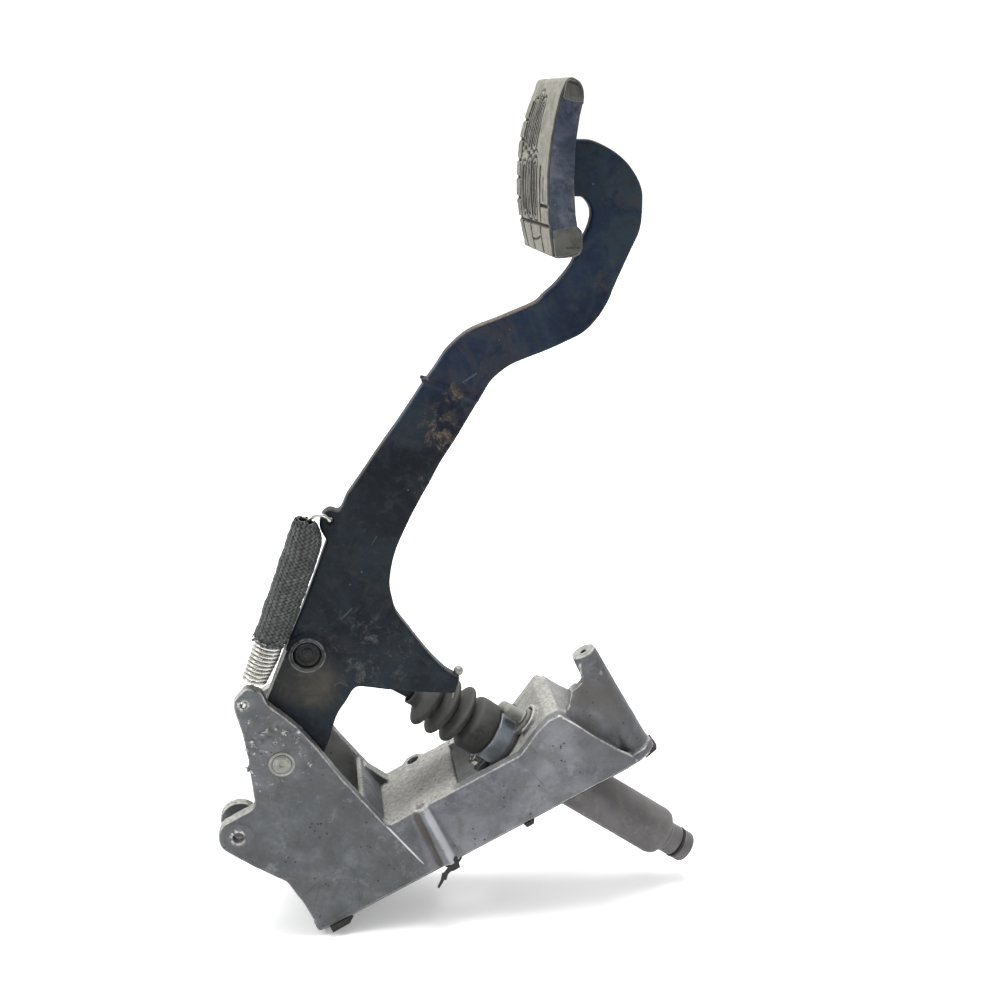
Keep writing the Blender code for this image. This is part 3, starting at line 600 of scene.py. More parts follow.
    def along(self, axis, a, b):
        """Rises from 0 to 1 as the point's coordinate along axis (world) goes from a to b mm."""
        d = self.nt.nodes.new("ShaderNodeVectorMath")
        d.operation = "DOT_PRODUCT"
        self.nt.links.new(self.co, d.inputs[0])
        d.inputs[1].default_value = axis
        return self.span(d.outputs["Value"], a * MM, b * MM)

    def facing(self, axis, a, b):
        d = self.nt.nodes.new("ShaderNodeVectorMath")
        d.operation = "DOT_PRODUCT"
        self.nt.links.new(self.geo.outputs["Normal"], d.inputs[0])
        d.inputs[1].default_value = axis
        return self.span(d.outputs["Value"], a, b)

    def point(self, a, b, lo=0.0, hi=1.0):
        return self.span(self.geo.outputs["Pointiness"], a, b, lo, hi)

    def attribute(self, name):
        n = self.nt.nodes.new("ShaderNodeAttribute")
        n.attribute_name = name
        return n.outputs["Fac"]

    def bump(self, height, strength, distance, under=None):
        n = self.nt.nodes.new("ShaderNodeBump")
        n.inputs["Strength"].default_value = strength
        n.inputs["Distance"].default_value = distance * MM
        self.put(n.inputs["Height"], height)
        if under is not None:
            self.nt.links.new(under, n.inputs["Normal"])
        return n.outputs["Normal"]

    def done(self, color, rough, metal=0.0, normal=None, spec=0.5, sheen=0.0):
        self.put(self.b.inputs["Base Color"], color)
        self.put(self.b.inputs["Roughness"], rough)
        self.put(self.b.inputs["Metallic"], metal)
        self.b.inputs["Specular IOR Level"].default_value = spec
        if sheen:
            self.b.inputs["Sheen Weight"].default_value = sheen
        if normal is not None:
            self.nt.links.new(normal, self.b.inputs["Normal"])
        return self.m


def on_base(u, y, w):
    x, z = base_to_world(u, w)
    return (x, y, z)


COLUMN_L = (on_base(56.0, -36.5, 3.0), on_base(58.6, -36.5, 40.0))
COLUMN_R = (on_base(64.2, -40.0, 4.0), on_base(65.8, -39.0, 41.0))


def cast_material():
    m = Mat("cast_aluminium_worn")
    big = m.noise(16, 5, 0.62, 0.6)
    mid = m.noise(62, 6, 0.66, 0.3)
    fine = m.noise(420, 4, 0.65)
    grain = m.noise(1500, 3, 0.6)
    base = m.mix(m.span(big, 0.34, 0.66), (0.118, 0.124, 0.142), (0.225, 0.232, 0.250))
    base = m.mix(m.span(mid, 0.46, 0.66, 0, 0.75), base, (0.150, 0.148, 0.142))
    base = m.mix(m.span(mid, 0.44, 0.30, 0, 0.6), base, (0.265, 0.272, 0.285))
    base = m.mix(m.span(fine, 0.55, 0.8, 0, 0.5), base, (0.32, 0.325, 0.33))
    base = m.mix(m.span(fine, 0.42, 0.25, 0, 0.65), base, (0.070, 0.070, 0.072))
    # dirt shade in patches on the side walls
    dark = m.span(m.noise(26, 4, 0.6, 0.8, w=6.3), 0.50, 0.66, 0, 0.55)
    base = m.mix(dark, base, (0.090, 0.090, 0.094))
    # the near cheek is duller and greener than the side wall behind it
    wall = m.along((0.891 + 0.0907, 0, 0.454 - 0.178), 45.5, 48.0)
    base = m.mix(m.math("SUBTRACT", 1.0, wall), m.mix(0.22, base, (0.04, 0.04, 0.045)), m.mix(0.58, base, (0.040, 0.046, 0.045)))
    blot = m.span(m.noise(34, 6, 0.72, 0.9, w=8.1), 0.46, 0.66)
    base = m.mix(m.math("MULTIPLY", blot, 0.38), base, (0.042, 0.044, 0.050))
    pale = m.span(m.noise(52, 6, 0.75, 0.7, w=3.3), 0.56, 0.68)
    base = m.mix(m.math("MULTIPLY", pale, 0.30), base, (0.26, 0.27, 0.28))
    # dust and oxide on what faces up, and painted light from above that makes the top faces lighter
    up = m.facing((-0.25, 0, 0.97), 0.35, 0.9)
    dust_and_top_light = m.math("MULTIPLY", up, m.span(m.noise(45, 5, 0.6), 0.2, 0.55, 0.6, 1.0))
    # painted shade: the wall's top by the bore gets little of it, so it stays dark
    rim = m.math("MULTIPLY", m.along((0, -1, 0), 26.0, 28.5), m.along((0.891, 0, 0.454), 84.0, 94.0))
    dust_and_top_light = m.math("MULTIPLY", dust_and_top_light, m.math("SUBTRACT", 1.0, m.math("MULTIPLY", rim, 0.85)))
    base = m.mix(dust_and_top_light, base, m.mix(m.span(fine, 0.35, 0.7), (0.25, 0.247, 0.225), (0.40, 0.395, 0.37)))
    # painted light on the far cheek's inner face and the low end wall, which are made lighter as if lit
    inner = m.math("MULTIPLY", m.along((0, 1, 0), 24.0, 27.0), m.facing((0, -1, 0), 0.6, 0.9))
    base = m.mix(m.math("MULTIPLY", inner, 0.75), base, m.mix(m.span(mid, 0.35, 0.65), (0.22, 0.22, 0.215), (0.34, 0.34, 0.33)))
    speck = m.math("MULTIPLY", m.span(m.noise(300, 4, 0.7, w=2.9), 0.60, 0.70), up)
    base = m.mix(m.math("MULTIPLY", speck, 0.7), base, (0.14, 0.135, 0.12))
    # pits
    pits = m.span(m.voronoi(260), 0.10, 0.20, 1, 0)
    keep = m.span(m.noise(60, 2, 0.5, w=3.1), 0.54, 0.60)
    pit = m.math("MULTIPLY", pits, keep)
    base = m.mix(pit, base, (0.030, 0.030, 0.030))
    # fine dark cracks and scores
    crack = m.span(m.voronoi(34, "DISTANCE_TO_EDGE", co=None), 0.0, 0.010, 1, 0)
    crack = m.math("MULTIPLY", crack, m.span(m.noise(38, 3, 0.5, w=4.4), 0.56, 0.62))
    base = m.mix(m.math("MULTIPLY", crack, 0.6), base, (0.055, 0.055, 0.055))
    # white oxide in a broken ring round the pin boss and in flecks above it
    c = (-49.1, -36.0, 105.2)
    d = m.dist(c, (1, 0.2, 1), 1.6, 120)
    arc_top = m.along((-0.30, 0, 0.95), 98.0, 112.0)
    left = m.along((-0.80, 0, 0.60), 118.0, 134.0)
    ring = m.math("MULTIPLY", m.math("MULTIPLY", m.band(d, 17.4, 20.4, 1.6), m.math("MULTIPLY", arc_top, left)), m.span(m.noise(120, 6, 0.75, 0.8, w=5.5), 0.50, 0.58, 0, 0.8))
    fleck = m.math("MULTIPLY", m.span(m.noise(170, 6, 0.75, 0.6, w=1.7), 0.585, 0.63), m.band(d, 15.0, 27.0, 9.0))
    fleck = m.math("MULTIPLY", fleck, arc_top)
    lobe = m.math("MULTIPLY", m.span(m.noise(210, 6, 0.75, 0.5, w=3.7), 0.60, 0.65), m.near((-62, -36, 134), 4, 16, (1, 0.3, 1)))
    white = m.math("MAXIMUM", m.math("MAXIMUM", ring, fleck), lobe)
    base = m.mix(m.math("MULTIPLY", white, 0.85), base, (0.50, 0.51, 0.50))
    # brown stain on the upright boss, and painted shade round it
    stain = m.near((150, -31, 138), 6, 30, (1, 0.4, 0.9), wobble=10, wob_scale=60)
    base = m.mix(m.math("MULTIPLY", stain, m.span(mid, 0.35, 0.6, 0.2, 0.7)), base, (0.11, 0.098, 0.085))
    shade = m.near((160, -31, 120), 30, 46, (1.5, 0.4, 0.75))
    base = m.mix(m.math("MULTIPLY", shade, 0.45), base, (0.060, 0.060, 0.062))
    # painted highlight along the crease where the cheek ends on the side wall
    cheek_crease_highlight = m.line((14.5, -36.0, 57.0), (37.5, -36.0, 28.5), 0.15, 0.55, 0.5, 40)
    cheek_crease_highlight = m.math("MULTIPLY", cheek_crease_highlight, m.span(m.noise(70, 3, 0.6, w=3.9), 0.30, 0.55, 0.35, 0.9))
    base = m.mix(cheek_crease_highlight, base, (0.66, 0.67, 0.68))
    # painted highlight on the column's flank and a brown painted shadow in the hollow beside it
    column_painted_shadow = m.line(COLUMN_L[0], COLUMN_L[1], 1.6, 2.6, 1.0, 60)
    base = m.mix(m.math("MULTIPLY", column_painted_shadow, 0.75), base, (0.045, 0.036, 0.028))
    column_painted_highlight = m.line(COLUMN_R[0], COLUMN_R[1], 1.2, 2.4, 0.5, 60)
    base = m.mix(m.math("MULTIPLY", column_painted_highlight, 0.75), base, (0.42, 0.43, 0.46))
    # and a painted highlight on the edge down from the wall's peak
    wall_peak_edge_highlight = m.line((126.6, -35.0, 124.2), (160.0, -35.0, 104.5), 0.25, 0.6, 0.3)
    base = m.mix(wall_peak_edge_highlight, base, (0.80, 0.81, 0.82))
    # worn edges and grime in the corners
    edge = m.math("MULTIPLY", m.point(0.515, 0.56), m.span(m.noise(120, 4, 0.6, w=5.0), 0.30, 0.56, 0.45, 1.0))
    base = m.mix(edge, base, (0.56, 0.56, 0.54))
    grime = m.math("MULTIPLY", m.point(0.487, 0.45), m.span(m.noise(90, 4, 0.6, w=2.0), 0.3, 0.6, 0.6, 1.0))
    base = m.mix(grime, base, (0.060, 0.058, 0.052))
    rough = m.span(mid, 0.3, 0.7, 0.44, 0.66)
    rough = m.math("ADD", rough, m.math("MULTIPLY", dust_and_top_light, 0.2), clamp=True)
    metal = m.math("MULTIPLY", m.math("SUBTRACT", 1.0, dust_and_top_light), 0.45)
    n = m.bump(m.noise(150, 4, 0.6), 0.45, 0.9)
    n = m.bump(grain, 0.55, 0.25, n)
    n = m.bump(m.math("MULTIPLY", pit, -1.0), 0.8, 0.6, n)
    n = m.bump(white, 0.6, 0.5, n)
    return m.done(base, rough, metal, n)


def paint_material(name="black_paint_worn", tray=False):
    m = Mat(name)
    big = m.noise(15, 5, 0.62, 0.7)
    mid = m.noise(58, 6, 0.68, 0.5)
    mid2 = m.noise(95, 6, 0.7, 0.4, w=3.3)
    fine = m.noise(520, 5, 0.7)
    upper = m.along((0, 0, 1), 285.0, 345.0)
    # navy above, nearly black below, with blotches of both
    navy = m.mix(m.span(big, 0.36, 0.62), (0.0035, 0.0070, 0.018), (0.0100, 0.0190, 0.040))
    black = m.mix(m.span(big, 0.36, 0.62), (0.0030, 0.0050, 0.0085), (0.0085, 0.0130, 0.0190))
    base = m.mix(upper, black, navy)
    tall = m.along((0, 0, 1), 285.0, 345.0)
    tall = m.math("ADD", m.math("MULTIPLY", tall, 0.6), 0.4)
    base = m.mix(m.math("MULTIPLY", tall, m.span(m.noise(24, 5, 0.68, 0.9, w=6.6), 0.45, 0.60, 0, 0.6)), base, (0.022, 0.036, 0.043))
    base = m.mix(m.math("MULTIPLY", tall, m.span(m.noise(31, 5, 0.68, 0.9, w=1.2), 0.52, 0.64, 0, 0.5)), base, (0.036, 0.034, 0.040))
    if tray:
        base = m.mix(m.span(mid, 0.35, 0.65), (0.022, 0.028, 0.045), (0.058, 0.070, 0.096))
        base = m.mix(m.span(m.noise(48, 5, 0.7, 0.8, w=2.2), 0.46, 0.62, 0, 0.6), base, (0.105, 0.115, 0.135))
    base = m.mix(m.span(mid2, 0.56, 0.66, 0, 0.6), base, (0.020, 0.022, 0.026))
    base = m.mix(m.math("MULTIPLY", m.span(mid, 0.57, 0.68, 0, 0.55), 1.0), base, (0.028, 0.024, 0.022))
    base = m.mix(m.span(fine, 0.62, 0.80, 0, 0.35), base, (0.040, 0.044, 0.052))
    # dusty streaks and scuffs between the ring and the bellows
    low = m.near((-4, -27, 170), 14, 50, (0.9, 0.4, 1.25), wobble=16, wob_scale=38)
    streak = m.span(m.noise(90, 6, 0.78, 0.9, w=5.1), 0.50, 0.66)
    scuff = m.math("MULTIPLY", streak, m.math("ADD", m.math("MULTIPLY", low, 0.85), 0.10), clamp=True)
    base = m.mix(scuff, base, m.mix(m.span(fine, 0.4, 0.65), (0.040, 0.042, 0.042), (0.095, 0.097, 0.095)))
    # brown-grey film near the hub, down to where the bracket shields it
    film = m.near((-33, -27, 152), 10, 30, (1, 0.4, 1.05), wobble=8, wob_scale=45)
    film = m.math("MULTIPLY", film, m.along((0.30, 0, 0.954), 113.0, 128.0))
    film = m.math("MULTIPLY", film, m.span(m.noise(30, 4, 0.6, w=7), 0.28, 0.55, 0.45, 1.0))
    base = m.mix(m.math("MULTIPLY", film, 0.85), base, m.mix(m.span(mid, 0.35, 0.65), (0.030, 0.030, 0.027), (0.068, 0.064, 0.053)))
    # bare and rubbed patches
    rust_col = m.mix(m.span(fine, 0.35, 0.65), (0.038, 0.028, 0.023), (0.105, 0.087, 0.075))
    spots = None
    for c, a, b, q in (
        ((52, -27, 309), 3, 17, (1, 0.3, 0.7)),
        ((44, -27, 276), 2, 9, (1, 0.3, 1)),
        ((60, -27, 332), 2, 9, (1, 0.3, 1)),
        ((88, -22, 381), 3, 14, (1, 0.3, 2.2)),
    ):
        k = m.near(c, a, b, q, wobble=10, wob_scale=75)
        spots = k if spots is None else m.math("MAXIMUM", spots, k)
    broken = m.span(m.noise(130, 6, 0.74, 0.5, w=4.2), 0.50, 0.60)
    rust = m.math("MULTIPLY", spots, broken)
    rare = m.math("MULTIPLY", m.span(m.noise(30, 5, 0.7, w=9.0), 0.60, 0.68), broken)
    rust = m.math("MAXIMUM", rust, m.math("MULTIPLY", rare, 0.22))
    edge = m.math("MULTIPLY", m.point(0.53, 0.60), m.span(m.noise(75, 5, 0.65, w=6.0), 0.40, 0.58))
    rust = m.math("MAXIMUM", rust, m.math("MULTIPLY", edge, 0.6))
    base = m.mix(rust, base, rust_col)
    # the upper edge between the two bends is rubbed to brown metal
    strip = m.math("MULTIPLY", m.near((88, -22, 381), 16, 34, (1, 0.3, 1.4), wobble=6), m.facing((-0.35, 0, 0.93), 0.45, 0.8))
    base = m.mix(m.math("MULTIPLY", strip, 0.85), base, m.mix(m.span(fine, 0.4, 0.6), (0.085, 0.052, 0.038), (0.20, 0.15, 0.125)))
    # painted highlight down the left edge below the ring
    left_edge_highlight = m.line((-44.9, -27.0, 175.5), (-60.2, -27.0, 139.0), 1.0, 0.9, 0.5)
    if not tray:
        base = m.mix(left_edge_highlight, base, (0.42, 0.42, 0.40))
    # the ring's two rubbed rims
    d = m.dist((ROD_PIN[0], -27.0, ROD_PIN[1]), (1, 0.05, 1), 0.7, 110)
    rims = m.math("MAXIMUM", m.band(d, 10.4, 10.9, 0.5), m.band(d, 8.9, 9.2, 0.4))
    rims = m.math("MULTIPLY", rims, m.span(m.noise(150, 4, 0.6, w=2.6), 0.36, 0.56, 0.15, 1.0))
    base = m.mix(m.math("MULTIPLY", rims, 0.8), base, (0.15, 0.16, 0.16))
    # a few long thin scratches
    scr = None
    for p, q in (((4, -27, 232), (13, -27, 246)), ((66, -27, 339), (74, -27, 344)), ((-8, -27, 196), (-3, -27, 201))):
        k = m.line(p, q, 0.05, 0.25, 1.4, 60)
        scr = k if scr is None else m.math("MAXIMUM", scr, k)
    base = m.mix(m.math("MULTIPLY", scr, 0.35), base, (0.11, 0.12, 0.13))
    # pale flecks
    fl = m.math("MULTIPLY", m.span(m.voronoi(150), 0.05, 0.12, 1, 0), m.span(m.noise(33, 3, 0.5, w=8.8), 0.54, 0.6))
    base = m.mix(m.math("MULTIPLY", fl, 0.5), base, (0.12, 0.13, 0.14))
    # dust on up-facing faces
    up = m.math("MULTIPLY", m.facing((-0.3, 0, 0.95), 0.3, 0.95), m.span(mid, 0.35, 0.65, 0.2, 0.6))
    base = m.mix(up, base, (0.085, 0.08, 0.072))
    worn = m.math("MAXIMUM", m.math("MAXIMUM", rust, scuff), m.math("MULTIPLY", film, 0.8))
    rough = m.math("ADD", m.span(mid, 0.3, 0.7, 0.40, 0.58), m.math("MULTIPLY", worn, 0.3), clamp=True)
    n = m.bump(m.noise(60, 5, 0.6), 0.35, 1.4)
    n = m.bump(m.noise(700, 4, 0.65), 0.12, 0.25, n)
    n = m.bump(m.math("MULTIPLY", rust, -1.0), 0.5, 0.35, n)
    return m.done(base, rough, 0.0, n, 0.12)


def rubber_material(name, dark, light, dusty=0.5, scale=1.0, groove=False, rough=0.75):
    m = Mat(name)
    big = m.noise(22 * scale, 4, 0.6)
    mid = m.noise(120 * scale, 5, 0.65)
    fine = m.noise(900 * scale, 4, 0.7)
    base = m.mix(m.span(mid, 0.35, 0.68), dark, light)
    base = m.mix(m.math("MULTIPLY", m.span(fine, 0.5, 0.8), 0.4), base, tuple(min(1, c * 1.5 + 0.01) for c in light))
    up = m.math("MULTIPLY", m.facing((-0.2, -0.1, 0.95), 0.1, 0.9), m.span(big, 0.3, 0.65, 0.4, 1.0))
    base = m.mix(m.math("MULTIPLY", up, dusty), base, tuple(min(1, c * 2.2 + 0.03) for c in light))
    edge = m.math("MULTIPLY", m.point(0.53, 0.60), 0.6 * dusty)
    base = m.mix(edge, base, tuple(min(1, c * 1.8 + 0.03) for c in light))
    deep = m.math("MULTIPLY", m.point(0.47, 0.40), 0.8)
    base = m.mix(deep, base, tuple(c * 0.35 for c in dark))
    if groove:
        g = m.attribute("groove")
        base = m.mix(m.math("MULTIPLY", g, m.span(mid, 0.2, 0.6, 0.85, 1.0)), base, (0.022, 0.021, 0.018))
    n = m.bump(mid, 0.25, 0.5)
    n = m.bump(fine, 0.35, 0.16, n)
    rr = m.span(mid, 0.3, 0.7, rough - 0.08, rough + 0.12)
    return m.done(base, rr, 0.0, n, 0.35)


def metal_material(name, dark, light, rough=0.35, metal=0.85, scale=1.0, dirt=0.5, rust=0.0):
    m = Mat(name)
    mid = m.noise(150 * scale, 5, 0.65)
    fine = m.noise(1200 * scale, 4, 0.7)
    base = m.mix(m.span(mid, 0.35, 0.65), dark, light)
    base = m.mix(m.span(fine, 0.45, 0.75, 0, 0.5), base, tuple(c * 0.55 for c in dark))
    spots = m.math("MULTIPLY", m.span(m.noise(260 * scale, 5, 0.7, w=3.3), 0.56, 0.66), dirt)
    base = m.mix(spots, base, (0.045, 0.04, 0.034))
    if rust:
        r = m.math("MULTIPLY", m.span(m.noise(180 * scale, 5, 0.7, w=8.1), 0.50, 0.62), rust)
        base = m.mix(r, base, (0.12, 0.055, 0.03))
    grime = m.math("MULTIPLY", m.point(0.48, 0.42), 0.8)
    base = m.mix(grime, base, tuple(c * 0.25 for c in dark))
    rr = m.math("ADD", m.span(mid, 0.3, 0.7, rough - 0.08, rough + 0.12), m.math("MULTIPLY", spots, 0.3), clamp=True)
    n = m.bump(mid, 0.15, 0.3)
    n = m.bump(fine, 0.25, 0.08, n)
    return m.done(base, rr, metal, n)


def cylinder_material():
    m = Mat("cylinder_coating_dusty")
    big = m.noise(20, 4, 0.6)
    mid = m.noise(95, 5, 0.65, 0.3)
    fine = m.noise(700, 5, 0.7)
    base = m.mix(m.span(big, 0.35, 0.65), (0.072, 0.066, 0.072), (0.115, 0.108, 0.112))
    base = m.mix(m.span(mid, 0.48, 0.72, 0, 0.7), base, (0.15, 0.138, 0.13))
    base = m.mix(m.span(fine, 0.45, 0.25, 0, 0.7), base, (0.04, 0.037, 0.036))
    # the section between boot and flange is clean blue-grey
    axis = (math.cos(math.radians(35)), 0, -math.sin(math.radians(35)))
    t0 = (CYL @ Vector((0, 0, 0))).dot(Vector(axis)) / MM
    clean = m.math("SUBTRACT", 1.0, m.along(axis, t0 + 57.0, t0 + 58.5))
    base = m.mix(m.math("MULTIPLY", clean, 0.85), base, m.mix(m.span(mid, 0.3, 0.7), (0.165, 0.195, 0.225), (0.26, 0.29, 0.315)))
    ear = m.near([c / MM for c in CYL @ Vector((-0.0235, -0.010, 0.059))], 9, 12, wobble=2)
    base = m.mix(m.math("MULTIPLY", ear, 0.8), base, m.mix(m.span(mid, 0.35, 0.65), (0.13, 0.13, 0.122), (0.26, 0.26, 0.245)))
    chips = m.math("MULTIPLY", m.span(m.noise(210, 5, 0.7, 0.4, w=2.7), 0.66, 0.70), m.near((126, -10, 66), 8, 26, wobble=8))
    base = m.mix(chips, base, (0.55, 0.54, 0.52))
    up = m.math("MULTIPLY", m.facing((-0.2, 0, 0.95), 0.0, 0.95), 0.35)
    base = m.mix(m.math("MULTIPLY", up, m.math("SUBTRACT", 1.0, clean)), base, (0.20, 0.185, 0.175))
    grime = m.math("MULTIPLY", m.point(0.48, 0.42), 0.8)
    base = m.mix(grime, base, (0.03, 0.028, 0.026))
    edge = m.math("MULTIPLY", m.point(0.53, 0.58), m.span(mid, 0.4, 0.6, 0.1, 0.6))
    base = m.mix(edge, base, (0.26, 0.25, 0.25))
    rough = m.math("SUBTRACT", m.span(mid, 0.3, 0.7, 0.46, 0.62), m.math("MULTIPLY", clean, 0.14), clamp=True)
    n = m.bump(m.noise(140, 4, 0.6), 0.25, 0.6)
    n = m.bump(fine, 0.3, 0.15, n)
    return m.done(base, rough, 0.25, n)


def pad_material():
    m = Mat("pad_rubber_dusty")
    big = m.noise(26, 4, 0.6)
    mid = m.noise(110, 6, 0.68, 0.3)
    fine = m.noise(900, 4, 0.7)
    base = m.mix(m.span(mid, 0.34, 0.66), (0.125, 0.123, 0.102), (0.225, 0.222, 0.196))
    base = m.mix(m.span(big, 0.40, 0.62, 0, 0.45), base, (0.200, 0.185, 0.155))
    base = m.mix(m.span(fine, 0.50, 0.75, 0, 0.4), base, (0.37, 0.365, 0.33))
    base = m.mix(m.math("MULTIPLY", m.span(m.noise(240, 5, 0.7, w=4.1), 0.56, 0.64), 0.6), base, (0.085, 0.080, 0.068))
    # the hooked ends and the sides are darker
    side = m.facing((0, -1, 0), 0.55, 0.85)
    back = m.facing((1, 0, 0), -0.1, 0.4)
    clean = m.math("MAXIMUM", side, back)
    base = m.mix(m.math("MULTIPLY", clean, 0.92), base, m.mix(m.span(mid, 0.35, 0.65), (0.010, 0.011, 0.010), (0.027, 0.027, 0.026)))
    slots = m.line((120.5, -57.6, 508.4), (125.0, -57.6, 507.4), 0.35, 0.5, 0.5, 90)
    for p, q in (((125.0, -57.6, 507.4), (129.2, -57.6, 504.9)), ((121.5, -57.6, 419.3), (128.6, -57.6, 419.5))):
        slots = m.math("MAXIMUM", slots, m.line(p, q, 0.35, 0.5, 0.5, 90))
    base = m.mix(slots, base, (0.004, 0.004, 0.004))
    edge = m.math("MULTIPLY", m.point(0.52, 0.58), m.span(mid, 0.35, 0.6, 0.2, 0.6))
    base = m.mix(edge, base, (0.32, 0.315, 0.285))
    deep = m.math("MULTIPLY", m.point(0.48, 0.42), 0.85)
    base = m.mix(deep, base, (0.050, 0.047, 0.040))
    g = m.attribute("groove")
    base = m.mix(m.math("MULTIPLY", g, m.span(mid, 0.2, 0.6, 0.85, 1.0)), base, (0.026, 0.024, 0.020))
    n = m.bump(mid, 0.3, 0.6)
    n = m.bump(fine, 0.35, 0.16, n)
    return m.done(base, m.span(mid, 0.3, 0.7, 0.72, 0.9), 0.0, n, 0.3)


M = {
    "cast": cast_material(),
    "paint": paint_material(),
    "rubber": rubber_material("bellows_rubber_dusty", (0.013, 0.014, 0.014), (0.040, 0.041, 0.036), 0.55),
    "gasket": rubber_material("seal_rubber", (0.012, 0.012, 0.012), (0.03, 0.028, 0.026), 0.2),
    "pad": pad_material(),
    "tray": paint_material("tray_paint_worn", True),
    "cylinder": cylinder_material(),
    "steel": metal_material("plain_steel_dull", (0.13, 0.13, 0.125), (0.24, 0.24, 0.23), 0.45, 0.7, rust=0.25),
    "zinc": metal_material("zinc_plate_dull", (0.17, 0.17, 0.155), (0.30, 0.30, 0.28), 0.42, 0.65),
    "spring": metal_material("spring_wire", (0.40, 0.40, 0.37), (0.62, 0.61, 0.57), 0.26, 0.9, dirt=0.35),
    "bronze": metal_material("bush_bronze_oiled", (0.22, 0.13, 0.06), (0.38, 0.24, 0.11), 0.4, 0.85),
    "piston": metal_material("piston_turned", (0.38, 0.38, 0.40), (0.55, 0.55, 0.57), 0.28, 0.9, dirt=0.1),
    "inlet": rubber_material("inlet_plastic", (0.10, 0.10, 0.085), (0.16, 0.165, 0.145), 0.5, rough=0.6),
}


def braid_material():
    m = Mat("braided_sleeve_black")
    mid = m.noise(140, 5, 0.65)
    fine = m.noise(2200, 3, 0.6)
    strand_tone_and_light = m.attribute("strand_tone_and_light")
    base = m.mix(m.span(mid, 0.35, 0.68), (0.003, 0.004, 0.004), (0.010, 0.013, 0.012))
    # painted light from the per-vertex attribute: ridges and the strands that pass over are lighter
    lit = m.math("MULTIPLY", strand_tone_and_light, m.span(mid, 0.3, 0.62, 0.35, 1.0))
    base = m.mix(lit, base, m.mix(m.span(fine, 0.4, 0.7), (0.060, 0.074, 0.068), (0.135, 0.155, 0.140)))
    rim = m.near((-28.3, -31, 259.6), 4.6, 6.6, wobble=0.5)
    base = m.mix(m.math("MULTIPLY", rim, 0.7), base, (0.20, 0.205, 0.20))
    n = m.bump(fine, 0.4, 0.12)
    return m.done(base, m.span(mid, 0.3, 0.7, 0.42, 0.62), 0.0, n, 0.5, 0.0)


M["braid"] = braid_material()


def dress(ob, material, body, slot, *nodes):
    ob.data.materials.clear()
    ob.data.materials.append(M[material] if isinstance(material, str) else material)
    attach(ob, body)
    if nodes:
        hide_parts(*nodes)
    return ob


def slimmed(o, limit):
    """The mesh reduced to about `limit` triangles."""
    tris = sum(len(p.vertices) - 2 for p in o.data.polygons)
    if tris <= limit:
        return o
    d = o.modifiers.new("slim", "DECIMATE")
    d.ratio = limit / tris
    return evaluated(o)


# ================================================================== camera, light, floor
CAM_AT, CAM_TO = Vector((-22.3, -836.0, 496.5)) * MM, Vector((91.67, 0, 258.46)) * MM
cam_data = bpy.data.cameras.new("camera")
cam_data.sensor_width = 36.0
cam_data.lens = 50.5
cam_data.clip_start, cam_data.clip_end = 0.05, 50
cam = link(bpy.data.objects.new("camera", cam_data))
cam.location = CAM_AT
cam.rotation_mode = "QUATERNION"
cam.rotation_quaternion = (CAM_TO - CAM_AT).to_track_quat("-Z", "Y")
scene.camera = cam

world = bpy.data.worlds.new("studio")
scene.world = world
world.use_nodes = True
wt = world.node_tree
wbg = wt.nodes["Background"]
wbg.inputs["Color"].default_value = (1.0, 1.0, 1.0, 1)
# a pale studio: brighter in front and overhead, dimmer in the half of the room behind
wco = wt.nodes.new("ShaderNodeTexCoord")
wdot = wt.nodes.new("ShaderNodeVectorMath")
wdot.operation = "DOT_PRODUCT"
wt.links.new(wco.outputs["Generated"], wdot.inputs[0])
wdot.inputs[1].default_value = Vector((0.10, 0.86, 0.50)).normalized()
wmap = wt.nodes.new("ShaderNodeMapRange")
wmap.interpolation_type = "SMOOTHSTEP"
wt.links.new(wdot.outputs["Value"], wmap.inputs["Value"])
for key, val in (("From Min", -0.75), ("From Max", 0.55), ("To Min", 0.30), ("To Max", 1.12)):
    wmap.inputs[key].default_value = val
wt.links.new(wmap.outputs["Result"], wbg.inputs["Strength"])
scene.view_settings.view_transform = "Standard"


def area(name, at, to, size, power):
    d = bpy.data.lights.new(name, "AREA")
    d.shape = "DISK"
    d.size = size
    d.energy = power
    o = link(bpy.data.objects.new(name, d))
    o.location = at
    o.rotation_mode = "QUATERNION"
    o.rotation_quaternion = (Vector(to) - Vector(at)).to_track_quat("-Z", "Y")
    return o


area("key_above", (0.15, 0.10, 1.9), (0.08, 0, 0.2), 1.1, 34)
area("side_left", (-1.4, -0.35, 0.9), (0.05, 0, 0.2), 0.7, 9)

floor_z = CAD_LO[2] - 0.0012
bm = bmesh.new()
bmesh.ops.create_grid(bm, x_segments=2, y_segments=2, size=6)
bmesh.ops.translate(bm, verts=bm.verts, vec=(0, 0, floor_z))
me = bpy.data.meshes.new("floor")
bm.to_mesh(me)
bm.free()
floor = link(bpy.data.objects.new("floor", me))
fm = Mat("pale_floor")
fcol = fm.mix(fm.span(fm.noise(3, 3), 0.3, 0.7), (0.93, 0.93, 0.93), (0.95, 0.95, 0.95))
floor.data.materials.append(fm.done(fcol, 0.9, 0.0, None, 0.1))
# the floor glows faintly, more so far from the object, so that it runs into the wall
fm.b.inputs["Emission Color"].default_value = (1, 1, 1, 1)
far = fm.dist((90, 0, 0))
fm.nt.links.new(fm.span(far, 0.35, 1.6, 0.22, 0.75), fm.b.inputs["Emission Strength"])

